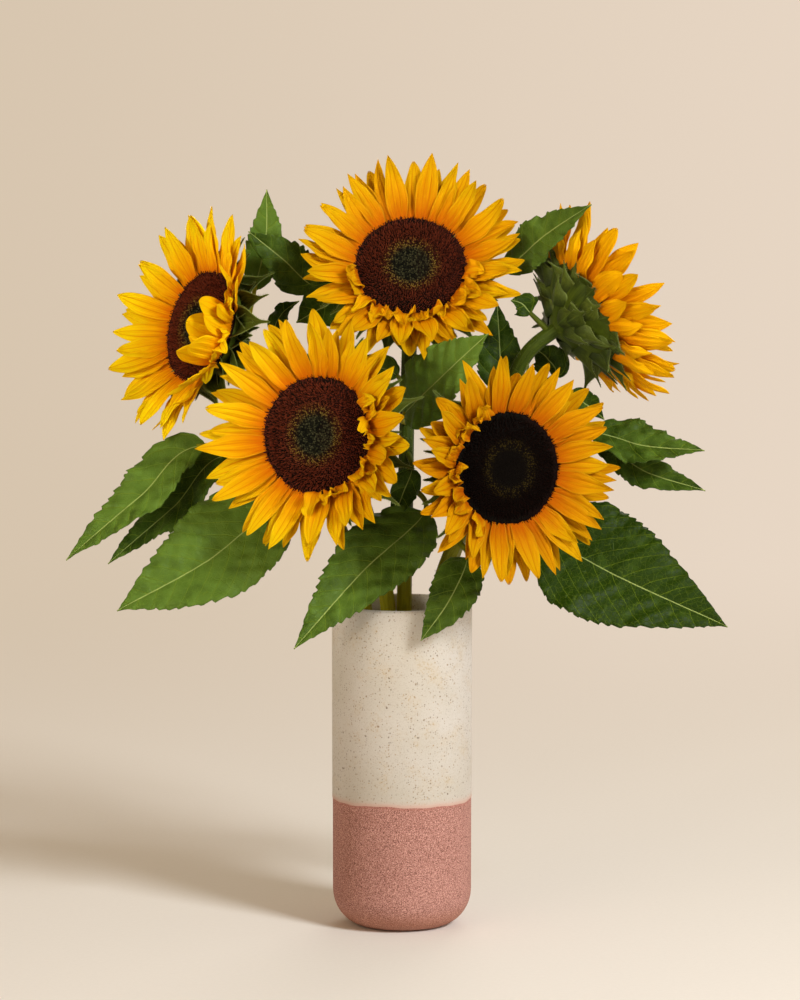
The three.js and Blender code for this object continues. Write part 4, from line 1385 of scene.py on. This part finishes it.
AIM = (0.0, 0.0, 280.0)
COOL, AMBER, WARM_WHITE = (0.93, 0.98, 1.0), (1.0, 0.8, 0.55), (1.0, 0.96, 0.9)
LIGHTS = [
    {"name": "key", "place": (1650, -1800, 1750), "size": 800, "power": 79, "color": COOL},
    {"name": "fill", "place": (-1500, -1900, 1500), "size": 1800, "power": 5.5, "color": AMBER},
    {"name": "back", "place": (500, 2200, 1900), "size": 1600, "power": 16, "color": WARM_WHITE},
]
# Soft spots from the left on flower 4, on flower 5 and between flowers 2 and 3, each with its
# cone in degrees.
SPOT_KEYS = ("name", "place", "aim", "power", "cone")
SPOTS = (
    ("left_spot", (-2000, -1750, 900), (-190, 0, 455), 430, 7.5),
    ("right_spot", (-1500, -2100, 500), (150, 0, 440), 280, 6.6),
    ("low_spot", (-1300, -2300, 750), (-20, -75, 330), 260, 5),
)
SPOT = {"size": 220, "color": (1.0, 0.94, 0.82)}
WORLD = {"color": (1.0, 0.76, 0.47, 1.0), "strength": 0.37}


def add_light(row, kind, color, aim, **settings):
    data = bpy.data.lights.new(row["name"], kind)
    data.energy = row["power"]
    data.color = color
    for key, value in settings.items():
        setattr(data, key, value)
    lamp = link(bpy.data.objects.new(row["name"], data))
    lamp.location = [value * MM for value in row["place"]]
    towards = np.array(aim, float) - np.array(row["place"], float)
    lamp.rotation_euler = Vector(towards.tolist()).to_track_quat("-Z", "Y").to_euler()
    lamp.visible_camera = False


def make_lights():
    for row in LIGHTS:
        add_light(row, "AREA", row["color"], AIM, shape="DISK", size=row["size"] * MM)
    for row in (dict(zip(SPOT_KEYS, values)) for values in SPOTS):
        soft = {"spot_blend": 1.0, "shadow_soft_size": SPOT["size"] * MM}
        add_light(row, "SPOT", SPOT["color"], row["aim"], spot_size=math.radians(row["cone"]), **soft)
    world = bpy.data.worlds.new("studio")
    world.use_nodes = True
    background = world.node_tree.nodes["Background"]
    background.inputs[0].default_value = WORLD["color"]
    background.inputs[1].default_value = WORLD["strength"]
    bpy.context.scene.world = world


# ------------------------------------------------------------ assembly

make_stage()
make_lights()
bpy.context.scene.view_settings.view_transform = "Standard"

make_vase()
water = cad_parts["water"]
water.data.materials.clear()
water.data.materials.append(water_material())

disc_look, stem_look, leaf_look = disc_material(), stem_material(), leaf_material()
bract_look, hair_look = bract_material(), hair_material()
for number, flower in enumerate(FLOWERS, 1):
    make_petals(flower, number, petal_material(number, flower["shade"]), disc_look)
    make_disc(flower, number, disc_look)
    make_stalk(flower, number, stem_look, hair_look)
    make_bracts(flower, number, bract_look, hair_look)
    make_leaves(flower, number, leaf_look, stem_look)
